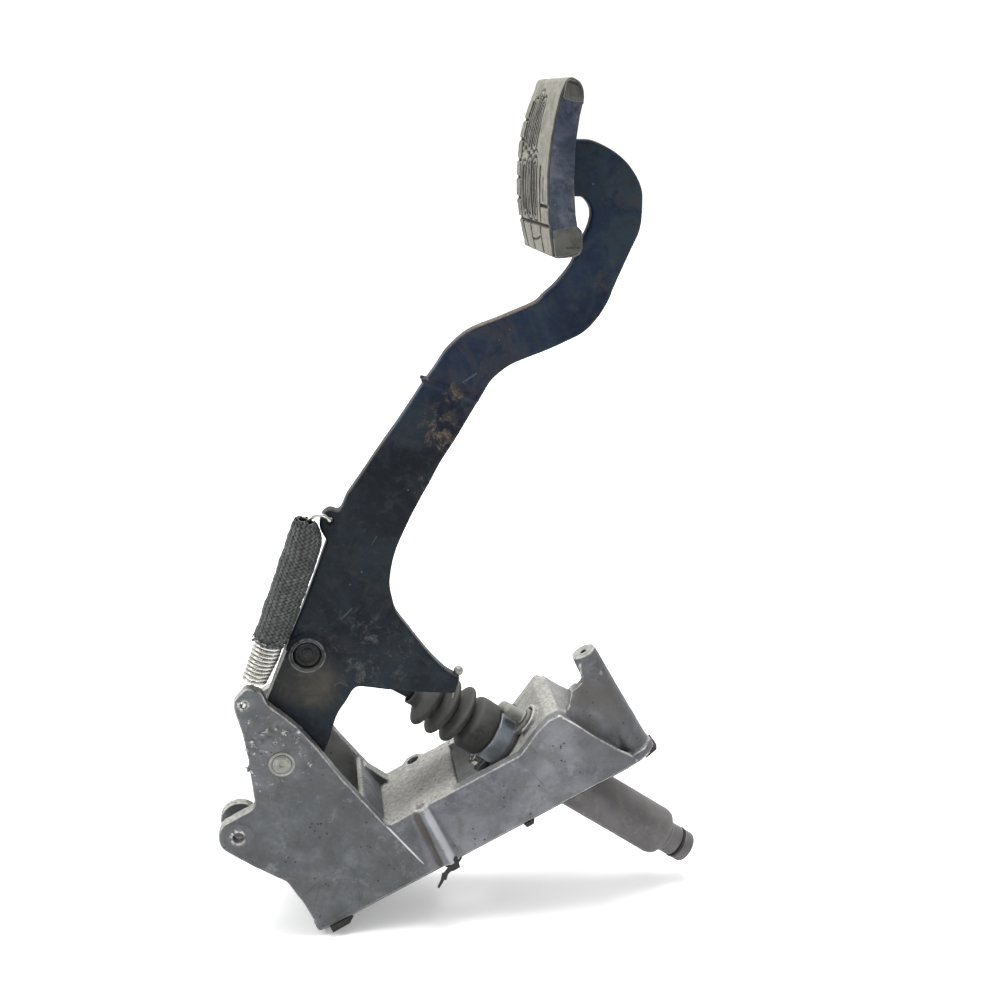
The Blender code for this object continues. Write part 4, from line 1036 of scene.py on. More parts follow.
# ================================================================== the bracket
SIDE_EDGE = [
    (38.7, 43.6), (35.5, 62), (30.5, 87), (27.5, 111), (24, 131), (20.5, 141), (15.5, 154), (16.5, 163),
    (10, 170.5), (-1.5, 166), (-4, 160), (-6.5, 147), (-11.5, 131), (-18, 115), (-25, 98),
]
bracket = cad_copy("pedal_bracket", "bracket_casting", dissolve=False)
adds = []
# the near cheek stands a little proud of the side wall, with a straight front edge
cheek = rounded([(-32.6, 6.6), (46.0, 6.6)] + SIDE_EDGE + arc(-44, 85.3, 12.3, 80, 200, 10)
                + [(-46.2, 63), (-33.8, 42.5), (-32.3, 24)], 4, 4)
adds.append(plate("cheek_face", cheek, -H - 1.3, -H + 1.5, B27))


def base_pt(u, y, w):
    x, z = base_to_world(u, w)
    return (x, y, z)


adds.append(cone("pin_boss_rim", base_pt(4, -H - 2.3, 116), base_pt(4, -H + 2, 116), 19.0, 20.4, 56))
adds.append(cone("pin_boss_far", base_pt(4, H + 2.2, 116), base_pt(4, H - 2, 116), 19.0, 20.4, 56))
adds.append(cone("ear_pad", base_pt(-44, -H - 2.0, 85.3), base_pt(-44, -H + 2, 85.3), 10.0, 11.2, 40))
rng = np.random.default_rng(7)
for k in range(26):
    a = math.radians(rng.uniform(35, 125))
    rr = rng.uniform(19.5, 23.5)
    adds.append(blob(f"flash_{k}", base_pt(4 + rr * math.cos(a), -H - 1.4, 116 + rr * math.sin(a)),
                     rng.uniform(0.7, 1.7), (1.2, 0.7, 1.0)))
for k in range(16):
    a = math.radians(rng.uniform(125, 215))
    rr = rng.uniform(18, 25)
    adds.append(blob(f"flash_b{k}", base_pt(4 + rr * math.cos(a), -H - 1.4, 116 + rr * math.sin(a)),
                     rng.uniform(0.6, 1.3), (1.1, 0.6, 1.2)))
# fillet ribs and thicker rims that soften the deck's joins
adds.append(plate("wall_face", rounded([(40, 0.8), (200, 0.8), (196, 8), (190.5, 16), (184, 27), (169, 55.9), (160.3, 55.9),
                                        (149.5, 51.9), (134.5, 43.9), (40, 43.9)], 2.5, 4), -H - 0.7, -H + 2.0, B27))
adds.append(cone("column_ridge", base_pt(62.6, -34.2, 1.2), base_pt(64.0, -33.6, DECK_W - 0.2), 7.0, 5.0, 48))
ring_out = []
for i in range(31):
    a = math.radians(201.8 - 105 + 210 * i / 30)
    ring_out.append((a, 10.8))
for i in range(31):
    a = math.radians(201.8 + 105 - 210 * i / 30)
    ring_out.append((a, 8.3))
rv = [(( -22.5 + r * math.cos(a)) * MM, (-9 + r * math.sin(a)) * MM, t * MM) for t in (58.8, 64.0) for a, r in ring_out]
rn = len(ring_out)
rf = [list(range(rn)), list(range(2 * rn - 1, rn - 1, -1))] + [[i, i + rn, (i + 1) % rn + rn, (i + 1) % rn] for i in range(rn)]
seat_ring = mesh_object("seat_ring", rv, rf, CYL)
bm = bmesh.new()
bm.from_mesh(seat_ring.data)
bmesh.ops.recalc_face_normals(bm, faces=bm.faces)
bm.to_mesh(seat_ring.data)
bm.free()
adds.append(seat_ring)
shells = [bracket] + adds
bm = bmesh.new()
for o in shells:
    bm.from_mesh(o.data)
me = bpy.data.meshes.new("bracket_casting")
bm.to_mesh(me)
bm.free()
for o in shells:
    bpy.data.objects.remove(o, do_unlink=True)
bracket = link(bpy.data.objects.new("bracket_casting", me))
bracket = remeshed(bracket, 0.8, 3, 0.5)
# the holes that the plates closed are cut again, so that they stay crisp
bracket = boolean(bracket, [
    cone("h1", base_pt(-44, -60, 85.3), base_pt(-44, -IN - 3, 85.3), 3.9, 3.9, 36),
    cone("h2", base_pt(3.0, -60, 161.2), base_pt(3.0, -20, 161.2), 2.3, 2.3, 28),
    cone("h3", base_pt(62.2, -32.2, 20), base_pt(62.2, -32.2, 60), 3.4, 3.4, 32),
], "DIFFERENCE")
displaced(bracket, 9.0, 0.45, 2)
displaced(bracket, 2.2, 0.16, 2)
bracket = evaluated(bracket)
bracket = slimmed(bracket, 186000)
print("bracket polygons", len(bracket.data.polygons))
smooth(bracket, 180)
dress(bracket, "cast", "bracket", "cast_alloy", "pedal_bracket")

# seal strip
gasket = cad_copy("base_gasket", "seal_strip")
add_bevel(gasket, 0.35, 2)
gasket = evaluated(gasket)
dress(smooth(gasket), "gasket", "bracket", "black_rubber", "base_gasket")

# ================================================================== pins
P_PIN = PEDAL @ ALONG_Y
pin = turned(
    "pivot_pin_turned",
    [(0, H + 4.4), (1.2, H + 4.0), (1.6, H + 4.4), (PIN_R - 0.7, H + 4.4), (PIN_R, H + 3.7), (PIN_R, H + 3.2),
     (PIN_R - 1, H + 3.2), (PIN_R - 1, H + 2.0), (PIN_R, H + 2.0), (PIN_R, -H - 3.0), (PIN_R - 0.25, -H - 3.5),
     (PIN_R - 0.9, -H - 3.8), (1.7, -H - 3.8), (1.3, -H - 3.3), (0, -H - 3.2)],
    P_PIN, 64, bevel=0.12,
)
dress(pin, "zinc", "bracket", "plain_steel", "pivot_pin")
washer = turned("pivot_pin_washer_turned", [(8.2, -H - 1.45), (8.2, -H - 2.9), (PIN_R + 0.15, -H - 2.9), (PIN_R + 0.15, -H - 1.45)],
                P_PIN, 64, closed=True, bevel=0.3)
dress(washer, "zinc", "bracket", "zinc_plate", "pivot_pin_washer")

# circlip with a gap and two eyes, in the pin's groove
def circlip(name, matrix, r0, r1, z0, z1, gap=34):
    outline = []
    n = 40
    for i in range(n + 1):
        a = math.radians(gap + (360 - 2 * gap) * i / n)
        outline.append((r1 * math.cos(a), r1 * math.sin(a)))
    outline += [((r1 + 1.0) * math.cos(math.radians(-gap)), (r1 + 1.0) * math.sin(math.radians(-gap))),
                ((r1 + 1.0) * math.cos(math.radians(-gap + 14)), (r1 + 1.0) * math.sin(math.radians(-gap + 14))),
                (r0 * math.cos(math.radians(-gap + 14)), r0 * math.sin(math.radians(-gap + 14)))]
    for i in range(n + 1):
        a = math.radians(360 - gap - (360 - 2 * gap) * i / n)
        outline.append((r0 * math.cos(a), r0 * math.sin(a)))
    outline += [(r0 * math.cos(math.radians(gap - 14)), r0 * math.sin(math.radians(gap - 14))),
                ((r1 + 1.0) * math.cos(math.radians(gap - 14)), (r1 + 1.0) * math.sin(math.radians(gap - 14))),
                ((r1 + 1.0) * math.cos(math.radians(gap)), (r1 + 1.0) * math.sin(math.radians(gap)))]
    verts = [(x * MM, y * MM, z0 * MM) for x, y in outline] + [(x * MM, y * MM, z1 * MM) for x, y in outline]
    k = len(outline)
    faces = [list(range(k - 1, -1, -1)), list(range(k, 2 * k))]
    faces += [[i, (i + 1) % k, (i + 1) % k + k, i + k] for i in range(k)]
    ob = mesh_object(name, verts, faces)
    bm = bmesh.new()
    bm.from_mesh(ob.data)
    bmesh.ops.recalc_face_normals(bm, faces=bm.faces)
    bm.to_mesh(ob.data)
    bm.free()
    add_bevel(ob, 0.12, 2)
    ob = evaluated(ob)
    ob.data.transform(matrix)
    return smooth(ob)


clip = circlip("pivot_pin_clip_ring", P_PIN, PIN_R - 0.9, 7.6, H + 2.2, H + 3.0)
dress(clip, "steel", "bracket", "zinc_plate", "pivot_pin_circlip")

# ================================================================== the lever
LEVER = [
    (116.2, 477.5), (133, 477.5), (142, 476.5), (155, 470), (164, 462), (170.5, 450.5),
    (171.5, 439), (170.5, 427), (166, 416), (160, 403), (155, 391.5), (153, 386), (147, 376),
    (138, 367), (126, 361), (113, 355.5), (100.5, 351), (93, 347.5), (85.5, 342), (81.5, 337.5),
    (77.5, 331), (71, 320.5), (62, 305.5), (52.5, 291), (46.5, 280), (39, 267), (31.5, 252.5),
    (24.5, 236.5), (21.5, 224), (20.5, 214.5), (22, 204.5), (24.5, 196), (32.5, 184.5),
    (42.5, 170), (51.5, 159.5), (58, 154), (63, 152), (59.5, 141), (32, 144), (16.5, 146),
    (1, 149), (-4, 147), (-8.5, 139.5), (-13, 133), (-16.5, 124.5), (-19.5, 114.5),
]
LEVER += arc(PIVOT_XZ[0], PIVOT_XZ[1], 25, -5, -90, 5) + arc(PIVOT_XZ[0], PIVOT_XZ[1], 19, -110, -175, 4)
LEVER += [
    (-68, 121), (-58.5, 141), (-45.5, 174), (-30.5, 209), (-17, 244.5), (-20.5, 252),
    (-20.5, 257.5), (-18, 262), (-14, 264), (-8.5, 263), (-4, 272), (1, 279), (17, 302),
    (24.5, 312), (34.5, 326.5), (43, 339), (50, 348.5), (56, 357.5), (62.5, 364), (69, 369),
    (76.5, 372.5), (85, 375.5), (95.5, 379.5), (109, 385), (114, 389.5), (121, 395.5),
    (128.5, 404.5), (132, 410.5), (136.5, 421), (140, 428.5), (141.5, 435.5), (140.5, 440),
    (137, 444.5), (132.5, 445.5), (115.4, 445.5), (114.1, 462),
]
# keep the true corners sharp and run a smooth curve between them
CORNERS = {(116.2, 477.5), (63, 152), (59.5, 141), (-17, 244.5), (115.4, 445.5), (114.1, 462)}
smooth_outline = []
runs, run = [], []
for p in LEVER:
    run.append(p)
    if p in CORNERS and len(run) > 1:
        runs.append(run)
        run = [p]
for r in runs:
    s = spline(r, 4)
    smooth_outline += s[:-1]
smooth_outline.append(runs[-1][-1])
lever = plate("lever_plate", smooth_outline, LEVER_Y0, LEVER_Y1)
add_bevel(lever, 1.3, 3, 50)
lever = evaluated(lever)
px, pz = ROD_PIN
lever = boolean(lever, [cone("ring", (px, LEVER_Y0 + 1, pz), (px, LEVER_Y0 - 2.4, pz), 12.0, 10.9, 64)], "UNION")
sx, sz = (62.5 + 58.2) / 2, (155.5 + 135.5) / 2
lever = boolean(lever, [
    cone("c1", (PIVOT_XZ[0], -60, PIVOT_XZ[1]), (PIVOT_XZ[0], 60, PIVOT_XZ[1]), 13.25, None, 56),
    cone("c2", (px, -60, pz), (px, -22.8, pz), 8.8, None, 56),
    cone("c3", (px, -60, pz), (px, 60, pz), 5.3, None, 40),
    cone("c4", (-14.5, -60, 257), (-14.5, 60, 257), 2.0, None, 32),
], "DIFFERENCE")
# a run of weld across the plate on both faces
weld = []
wa, wb = Vector((41.3, 0, 341.0)), Vector((74.9, 0, 327.5))
for side, y in (("near", LEVER_Y0), ("far", LEVER_Y1)):
    pts = []
    for i in range(40):
        s = i / 39
        p = wa.lerp(wb, s)
        pts.append((p.x + 0.5 * math.sin(i * 1.9), y, p.z + 0.6 * math.sin(i * 2.7)))
    weld.append(tube("weld_" + side, pts, 1.7, 10, taper=lambda s: 0.75 + 0.18 * math.sin(s * 95) + 0.1 * math.sin(s * 61)))
# weld round the ring
for k in range(1):
    pts = [(px + 13.1 * math.cos(math.tau * i / 72), LEVER_Y0 - 0.1, pz + 13.1 * math.sin(math.tau * i / 72)) for i in range(73)]
    weld.append(tube("ring_weld", pts, 1.15, 8, taper=lambda s: 0.85 + 0.16 * math.sin(s * 210) + 0.1 * math.sin(s * 77)))
bm = bmesh.new()
bm.from_mesh(lever.data)
for o in weld:
    bm.from_mesh(o.data)
    bpy.data.objects.remove(o, do_unlink=True)
me = bpy.data.meshes.new("lever_plate")
bm.to_mesh(me)
bm.free()
lever.data = me
lever = remeshed(lever, 0.85, 2, 0.5)
displaced(lever, 26.0, 0.5, 2)
displaced(lever, 3.0, 0.14, 3)
lever = evaluated(lever)
print("lever polygons", len(lever.data.polygons))
smooth(lever, 180)
dress(lever, "paint", "pedal", "black_paint", "pedal_lever")

# stop screw
stop_turn = math.atan2(62.5 - 58.2, 155.5 - 135.5)
STOP = Matrix.Translation((sx * MM, -0.022, sz * MM)) @ Matrix.Rotation(stop_turn, 4, "Y")
prof = [(0, 12.2), (1.4, 12.0), (2.5, 11.2), (3.0, 9.8), (2.9, 8.2), (2.2, 7.0), (1.3, 6.2), (0.5, 5.0), (0.5, -9.4), (0, -9.6)]
stop = turned("stop_screw_turned", prof, STOP, 32)
dress(stop, "zinc", "pedal", "zinc_plate", "travel_stop_screw")

hub = turned("hub_tube_turned", [(13, 27.2), (13, -27.2), (9.3, -27.2), (9.3, 27.2)], P_PIN, 64, closed=True, bevel=0.5)
dress(hub, "paint", "pedal", "black_paint", "pivot_hub_tube")
for nm, a, b in (("pivot_bush_near", -27.0, -12.0), ("pivot_bush_far", 12.0, 27.0)):
    bush = turned(nm + "_turned", [(8.9, b), (8.9, a), (PIN_R + 0.35, a), (PIN_R + 0.35, b)], P_PIN, 48, closed=True, bevel=0.3)
    dress(bush, "bronze", "pedal", "bush_bronze", nm)

P_ROD = RODPIN @ ALONG_Y
rod_pin = turned(
    "pushrod_pin_turned",
    [(0, 12.6), (4.4, 12.6), (5, 12.0), (5, 11.9), (4.2, 11.9), (4.2, 10.9), (5, 10.9), (5, -23.1),
     (8.2, -23.1), (8.2, -25.4), (7.7, -26.6), (6.9, -26.9), (6.1, -26.5), (5.2, -24.9), (3.6, -24.4), (3.0, -25.2), (0, -25.4)],
    P_ROD, 56, bevel=0.15,
)
dress(rod_pin, "paint", "pedal", "plain_steel", "pushrod_pin")
spacer = turned("pin_spacer_turned", [(7.6, -2.3), (7.6, -16.7), (5.3, -16.7), (5.3, -2.3)], P_ROD, 48, closed=True, bevel=0.4)
dress(spacer, "zinc", "pedal", "zinc_plate", "pin_spacer")
clip = circlip("pushrod_pin_clip_ring", P_ROD, 4.3, 7.0, 11.05, 11.75)
dress(clip, "steel", "pedal", "zinc_plate", "pushrod_pin_clip")

# ================================================================== the pad
tray = cad_copy("pad_plate", "pad_tray")
add_bevel(tray, 0.9, 3, 40)
tray = evaluated(tray)

FACE_TOP, FACE_BOT = (117.0, 508.5), (110.5, 414.5)
face_line = bow(FACE_BOT, FACE_TOP, 8.5, 60)
inner_line = bow((118.2, 421.0), (121.2, 503.0), 9.0, 60)


def path_sample(points, count):
    p = np.array(points)
    d = np.concatenate([[0], np.cumsum(np.linalg.norm(np.diff(p, axis=0), axis=1))])
    t = np.linspace(0, d[-1], count)
    return np.stack([np.interp(t, d, p[:, 0]), np.interp(t, d, p[:, 1])], 1)


NV = 250
NY = 190
lo_outer = spline([(130.3, 428.2), (130.6, 421), (129.6, 416.4), (126.2, 414.2), (119, 413.6), (113.6, 413.4), FACE_BOT], 5)
hi_outer = spline([FACE_TOP, (118.6, 510.2), (121.4, 510.6), (127, 508.9), (129.6, 505), (130.2, 500), (130, 496.5)], 5)
lo_inner = spline([(128.2, 428.2), (128.4, 424.0), (128.0, 421.5), (125, 421.2), (121, 421.0), (119.4, 421.0), (118.2, 421.0)], 5)
hi_inner = spline([(121.2, 503.0), (122.4, 503.0), (124.4, 503.0), (127.0, 502.8), (127.4, 501.0), (127.5, 498.6), (127.6, 496.5)], 5)
outer = np.concatenate([path_sample(lo_outer, 26)[:-1], path_sample(face_line, NV), path_sample(hi_outer, 26)[1:]])
inner = np.concatenate([path_sample(lo_inner, 26)[:-1], path_sample(inner_line, NV), path_sample(hi_inner, 26)[1:]])
rows = len(outer)
f0, f1 = 25, 25 + NV  # rows of the face
arc_v = np.zeros(rows)
seg = np.linalg.norm(np.diff(outer, axis=0), axis=1)
arc_v[1:] = np.cumsum(seg)
arc_v -= arc_v[f0]
face_len = arc_v[f1 - 1]


def smoothstep(a, b, x):
    t = np.clip((x - a) / (b - a), 0, 1)
    return t * t * (3 - 2 * t)


def tread(y, v):
    """Depth below the pad's face, mm, at y across and v up from the face's lower end."""
    a = (y - PAD_Y0) / (PAD_Y1 - PAD_Y0)       # 0 near side, 1 far side
    V = v / face_len * 97.0
    d = np.zeros_like(a + V)

    def trench(dist, width, depth, soft=0.45):
        return depth * (1 - smoothstep(width / 2 - soft, width / 2 + soft, np.abs(dist)))

    inside = (V > 3) & (V < 94)
    # far column of blocks
    far = smoothstep(0.81, 0.82, a)
    d = np.maximum(d, trench((a - 0.81) * 72, 2.0, 1.9) * (V < 86))
    for vv in (17.5, 29.5, 41.4, 51.6, 63.5, 75.0):
        d = np.maximum(d, far * trench(V - vv, 1.7, 1.9))
    for off in (0.87, 0.93):
        d = np.maximum(d, trench((a - off) * 72, 1.0, 0.9) * (V > 6) * (V < 84))
    # three blocks at the bottom
    low = V < 17.0
    d = np.maximum(d, trench(V - 17.0, 1.7, 1.9) * (a < 0.81))
    for off in (0.26, 0.56):
        d = np.maximum(d, trench((a - off) * 72, 1.9, 1.9) * low)
    d = np.maximum(d, trench(V - 9.0 - 2.0 * np.sin(a * 9), 1.1, 1.2) * (a > 0.28) * (a < 0.54))
    # near column: smooth above, blocks below
    d = np.maximum(d, trench((a - 0.22) * 72, 1.9, 1.9) * (V > 17.0) * (V < 50))
    for vv in (28.0,):
        d = np.maximum(d, trench(V - vv, 1.6, 1.8) * (a < 0.22))
    d = np.maximum(d, trench((a - 0.13) * 72, 1.3, 1.5) * (V > 30.0) * (V < 44))
    # a creased band between the two rows of loops
    d = np.maximum(d, trench(V - 56.5 - 2.0 * np.sin(a * 20), 1.2, 1.3) * (a > 0.30) * (a < 0.80))
    # long loops in the middle, in two rows
    for ac, v0, v1 in ((0.38, 23, 50), (0.54, 23, 50), (0.70, 25, 48), (0.46, 62, 84), (0.60, 61, 88), (0.73, 63, 84)):
        cy = PAD_Y0 + ac * 72
        dy = y - cy
        dv = np.where(V < v0, v0 - V, np.where(V > v1, V - v1, 0.0))
        dist = np.sqrt(dy**2 + dv**2)
        for r in ((1.5, 4.9) if ac < 0.66 else (1.2, 4.2)):
            d = np.maximum(d, trench(dist - r, 1.7, 1.7))
    # the smooth band near the top is only dented
    d = np.where(V > 90, d * smoothstep(96, 90, V), d)
    d = d * np.where(V < 1.5, smoothstep(0.0, 1.5, V), 1.0)
    d = d * smoothstep(0.0, 2.2, (y - PAD_Y0)) * smoothstep(0.0, 2.2, (PAD_Y1 - y))
    return d


# cross-section: columns over the outer side, round corners, straight sides, inner side
R_SIDE = 6.2
R_NEAR = 1.3
ys = np.linspace(PAD_Y0, PAD_Y1, NY)
verts, groove = [], []
tang = np.gradient(outer, axis=0)
tang /= np.linalg.norm(tang, axis=1)[:, None]
out_n = np.stack([-tang[:, 1], tang[:, 0]], 1)     # left of the way up: away from the tray
ncol = NY + 10
for j in range(rows):
    on_face = f0 <= j < f1
    thick = np.linalg.norm(outer[j] - inner[j])
    rs = min(R_SIDE, thick * 0.85) if on_face else min(2.2, thick * 0.7)
    if on_face:
        e = min(1.0, min(j - f0, f1 - 1 - j) / 10)
        rs = 2.2 + (rs - 2.2) * e
    v = arc_v[j]
    dy_edge = np.minimum(ys - PAD_Y0, PAD_Y1 - ys)
    rn_ = np.where(ys < (PAD_Y0 + PAD_Y1) / 2, min(R_NEAR, rs), rs)
    drop = np.where(dy_edge < rn_ * 0.8, rn_ * (1 - np.sqrt(np.clip(1 - (1 - dy_edge / (rn_ * 0.8)) ** 2, 0, 1))), 0.0)
    dep = tread(ys, np.full_like(ys, v)) if on_face else np.zeros_like(ys)
    # low unevenness of old rubber
    wav = np.array([noise.noise(Vector((yy * 0.06, v * 0.05, 3.0))) for yy in ys]) * 0.35
    wav += np.array([noise.noise(Vector((yy * 0.35, v * 0.35, 9.0))) for yy in ys]) * 0.16
    total = drop + dep * (1 - np.clip(drop / 1.5, 0, 1)) + wav * (1 if on_face else 0.4)
    for i in range(NY):
        p = outer[j] - out_n[j] * total[i]
        verts.append((p[0] * MM, ys[i] * MM, p[1] * MM))
        groove.append(float(np.clip(dep[i] / 1.6, 0, 1)))
    inn = inner[j]
    out_edge = outer[j] - out_n[j] * min(rs, thick)
    for s in (0.35, 0.7, 1.0):
        p = out_edge * (1 - s) + inn * s
        verts.append((p[0] * MM, (PAD_Y1 - (0.15 if s == 1.0 else 0)) * MM, p[1] * MM))
        groove.append(0.0)
    for s in (0.2, 0.4, 0.6, 0.8):
        verts.append((inn[0] * MM, (PAD_Y1 + (PAD_Y0 - PAD_Y1) * s) * MM, inn[1] * MM))
        groove.append(0.0)
    out_edge = outer[j] - out_n[j] * min(R_NEAR, rs, thick)
    for s in (1.0, 0.7, 0.35):
        p = out_edge * (1 - s) + inn * s
        verts.append((p[0] * MM, (PAD_Y0 + (0.15 if s == 1.0 else 0)) * MM, p[1] * MM))
        groove.append(0.0)
faces = []
for j in range(rows - 1):
    for i in range(ncol):
        m = (i + 1) % ncol
        faces.append([j * ncol + i, j * ncol + m, (j + 1) * ncol + m, (j + 1) * ncol + i])
faces.append([i for i in range(ncol)][::-1])
faces.append([(rows - 1) * ncol + i for i in range(ncol)])
pad = mesh_object("pad_cover", verts, faces)
at = pad.data.attributes.new("groove", "FLOAT", "POINT")
at.data.foreach_set("value", np.array(groove, np.float32))
bm = bmesh.new()
bm.from_mesh(pad.data)
bmesh.ops.recalc_face_normals(bm, faces=bm.faces)
bm.to_mesh(pad.data)
bm.free()
# the tray's steel side comes forward to the rubber's face on the near side
lip_top = [p for p in face_line if 423.0 < p[1] < 500.5]
lip = [(x + 1.5, z) for x, z in lip_top] + [(130.2, 500.5), (127.8, 490), (125.5, 474), (124.9, 455), (126.2, 438), (128.8, 423.0)]
lip = plate("tray_side", lip, PAD_Y0 - 0.35, PAD_Y0 + 2.0)
add_bevel(lip, 0.45, 3, 40)
lip = evaluated(lip)
bm = bmesh.new()
bm.from_mesh(tray.data)
bm.from_mesh(lip.data)
bm.to_mesh(tray.data)
bm.free()
bpy.data.objects.remove(lip, do_unlink=True)


LINE_X, LINE_Z = [p[0] for p in face_line], [p[1] for p in face_line]


def face_turn(o):
    for v in o.data.vertices:
        x, y, z = v.co.x / MM, v.co.y / MM, v.co.z / MM
        front = float(np.interp(z, LINE_Z, LINE_X))
        w = 1 - smoothstep(front + 2.0, 127.0, x)
        v.co.x -= 0.068 * (y + 16.0) * w * MM
        bulge = max(0.0, 1 - ((z - 458.0) / 44.0) ** 2) * (1 - smoothstep(-57.0, 0.0, y))
        v.co.x += 2.2 * bulge * w * MM


face_turn(tray)
dress(smooth(tray, 40), "tray", "pedal", "black_paint", "pad_plate")
# rubber cheeks that close the cover's two ends over the tray's sides
cheeks = []
for y0, y1 in ((PAD_Y0 - 0.5, PAD_Y0 + 0.35), (PAD_Y1 - 0.35, PAD_Y1 + 0.5)):
    lo_c = rounded([(112.2, 414.2), (120, 415.0), (128.6, 417.0), (130.4, 418.5), (129.6, 429), (127.6, 431.0), (117, 430), (109.4, 429)], 0.8, 3)
    hi_c = rounded([(115.6, 499.5), (123, 498), (129.6, 497.5), (129.9, 501), (128.6, 504.6), (124.6, 508.6), (119.0, 509.6), (117.2, 508.0)], 1.2, 4)
    for k, o in enumerate((lo_c, hi_c)):
        c = plate(f"pad_cheek_{k}", o, y0, y1)
        add_bevel(c, 0.35, 2, 50)
        cheeks.append(evaluated(c))
bm = bmesh.new()
bm.from_mesh(pad.data)
for c in cheeks:
    bm.from_mesh(c.data)
    bpy.data.objects.remove(c, do_unlink=True)
bm.to_mesh(pad.data)
bm.free()
smooth(pad, 50)
print("pad polygons", len(pad.data.polygons))
face_turn(pad)
dress(pad, "pad", "pedal", "dusty_rubber", "pad_rubber")

# ================================================================== push rod
rod = turned(
    "pushrod_turned",
    [(0, ROD_LEN + 5.1)]
    + [(5.2 * math.sin(math.radians(a)), ROD_LEN + 5.2 * math.cos(math.radians(a))) for a in range(12, 133, 10)]
    + [(3.9, ROD_LEN - 5.2), (5, ROD_LEN - 12)]
    + [(r, z) for k in range(22) for r, z in ((5.0, 52.0 - 0.8 * k), (4.55, 51.6 - 0.8 * k))]
    + [(5, 34.0), (5, 14.0), (4.4, 13.2), (0, 13.2)],
    ROD, 40,
)
dress(rod, "paint", "pushrod", "plain_steel", "pushrod")
eye = cad_copy("pushrod_eye", "pushrod_eye_forged")
add_bevel(eye, 0.5, 2, 40)
eye = evaluated(eye)
dress(smooth(eye, 40), "zinc", "pushrod", "zinc_plate", "pushrod_eye")
nut = cad_copy("pushrod_lock_nut", "lock_nut")
add_bevel(nut, 0.4, 2, 40)
nut = evaluated(nut)
dress(smooth(nut, 30), "paint", "pushrod", "zinc_plate", "pushrod_lock_nut")

# ================================================================== master cylinder
body = cad_copy("master_cylinder_body", "cylinder_body_cast", dissolve=False)
extra = []
CAX = CYL.to_3x3() @ Vector((0, 0, 1))


def cyl_at(x, y, t):
    p = CYL @ Vector((x * MM, y * MM, t * MM))
    return tuple(c / MM for c in p)


for t, r, w in ((190.0, 16.9, 1.2),):
    pass
neck = turned("neck_turned", [(13.7, 60.9), (16.9, 60.7), (17.2, 59.6), (17.2, 47.2), (16.8, 46.5), (13.7, 46.3)], CYL, 96, closed=True)
bm = bmesh.new()
bm.from_mesh(body.data)
bmesh.ops.remove_doubles(bm, verts=bm.verts, dist=0.000002)
bm.from_mesh(neck.data)
bpy.data.objects.remove(neck, do_unlink=True)
bm.to_mesh(body.data)
bm.free()
body = remeshed(body, 0.6, 2, 0.5)
displaced(body, 6.0, 0.3, 2)
displaced(body, 1.4, 0.12, 2)
body = evaluated(body)
body = slimmed(body, 140000)
print("cylinder polygons", len(body.data.polygons))
smooth(body, 180)
dress(body, "cylinder", "bracket", "cylinder_body", "master_cylinder_body")

for tag, x, y in (("a", -22.5, -9.0), ("b", 22.5, 9.0)):
    tip = [(0, 74), (2.4, 74), (2.9, 73), (2.9, 57.0), (5.1, 57.0), (5.2, 56.3), (4.9, 55.9)]
    if tag == "a":
        tip += [(4.2, 55.6), (4.1, 46.4), (3.7, 44.9), (2.7, 43.9), (1.3, 43.4), (0, 43.3)]
    else:
        tip += [(5.2, 55.5), (5.2, 52.2), (4.8, 51.5), (3.2, 51.4), (2.9, 52.0), (2.9, 54.0), (0, 54.0)]
    head = turned(
        "flange_bolt_head_" + tag, tip,
        CYL @ Matrix.Translation((x * MM, y * MM, 0)), 6 * 6, bevel=0.15,
    )
    dress(head, "inlet" if tag == "a" else "spring", "bracket", "zinc_plate", "flange_bolt_" + tag)

nip = turned(
    "inlet_stub_turned",
    [(0, 58.4), (4.6, 58.4), (4.75, 57.6), (4.75, 47.0), (4.4, 45.3), (3.4, 44.1), (1.8, 43.5), (0, 43.3)],
    CYL @ Matrix.Translation((-18.6 * MM, 2 * MM, 0)), 48,
)
stub = turned(
    "inlet_mouth_turned",
    [(0, 0.5), (3.3, 0.5), (3.3, 4.6), (3.0, 5.1), (2.5, 5.0), (2.2, 4.6), (2.1, 3.6), (0, 3.4)],
    CYL @ Matrix.Translation((-18.6 * MM, 2 * MM, 53.4 * MM)) @ Matrix.Rotation(math.radians(-90), 4, "Y"), 36,
)
bm = bmesh.new()
bm.from_mesh(nip.data)
bm.from_mesh(stub.data)
bm.to_mesh(nip.data)
bm.free()
bpy.data.objects.remove(stub, do_unlink=True)
dress(nip, "inlet", "bracket", "port_plastic", "inlet_nipple")

out = turned(
    "outlet_neck_turned",
    [(2.2, 214), (8.8, 214), (9.9, 213.4), (10.5, 212.2), (10.5, 206.9), (10.2, 206.4), (9.2, 206), (9.2, 204.2),
     (10.2, 203.9), (10.5, 203.3), (10.5, 196), (11.4, 194.6), (12.2, 193.3), (4.9, 193.3), (4.9, 185), (2.2, 185)],
    CYL, 64, closed=True, bevel=0.12,
)
dress(out, "cylinder", "bracket", "plain_steel", "outlet_connector")
oring = turned(
    "o_ring_round",
    [(10.1 + 0.85 * math.cos(math.radians(a)), 205.1 + 0.62 * math.sin(math.radians(a))) for a in range(0, 360, 30)],
    CYL, 56, closed=True, angle=180,
)
dress(oring, "gasket", "bracket", "black_rubber", "outlet_o_ring")

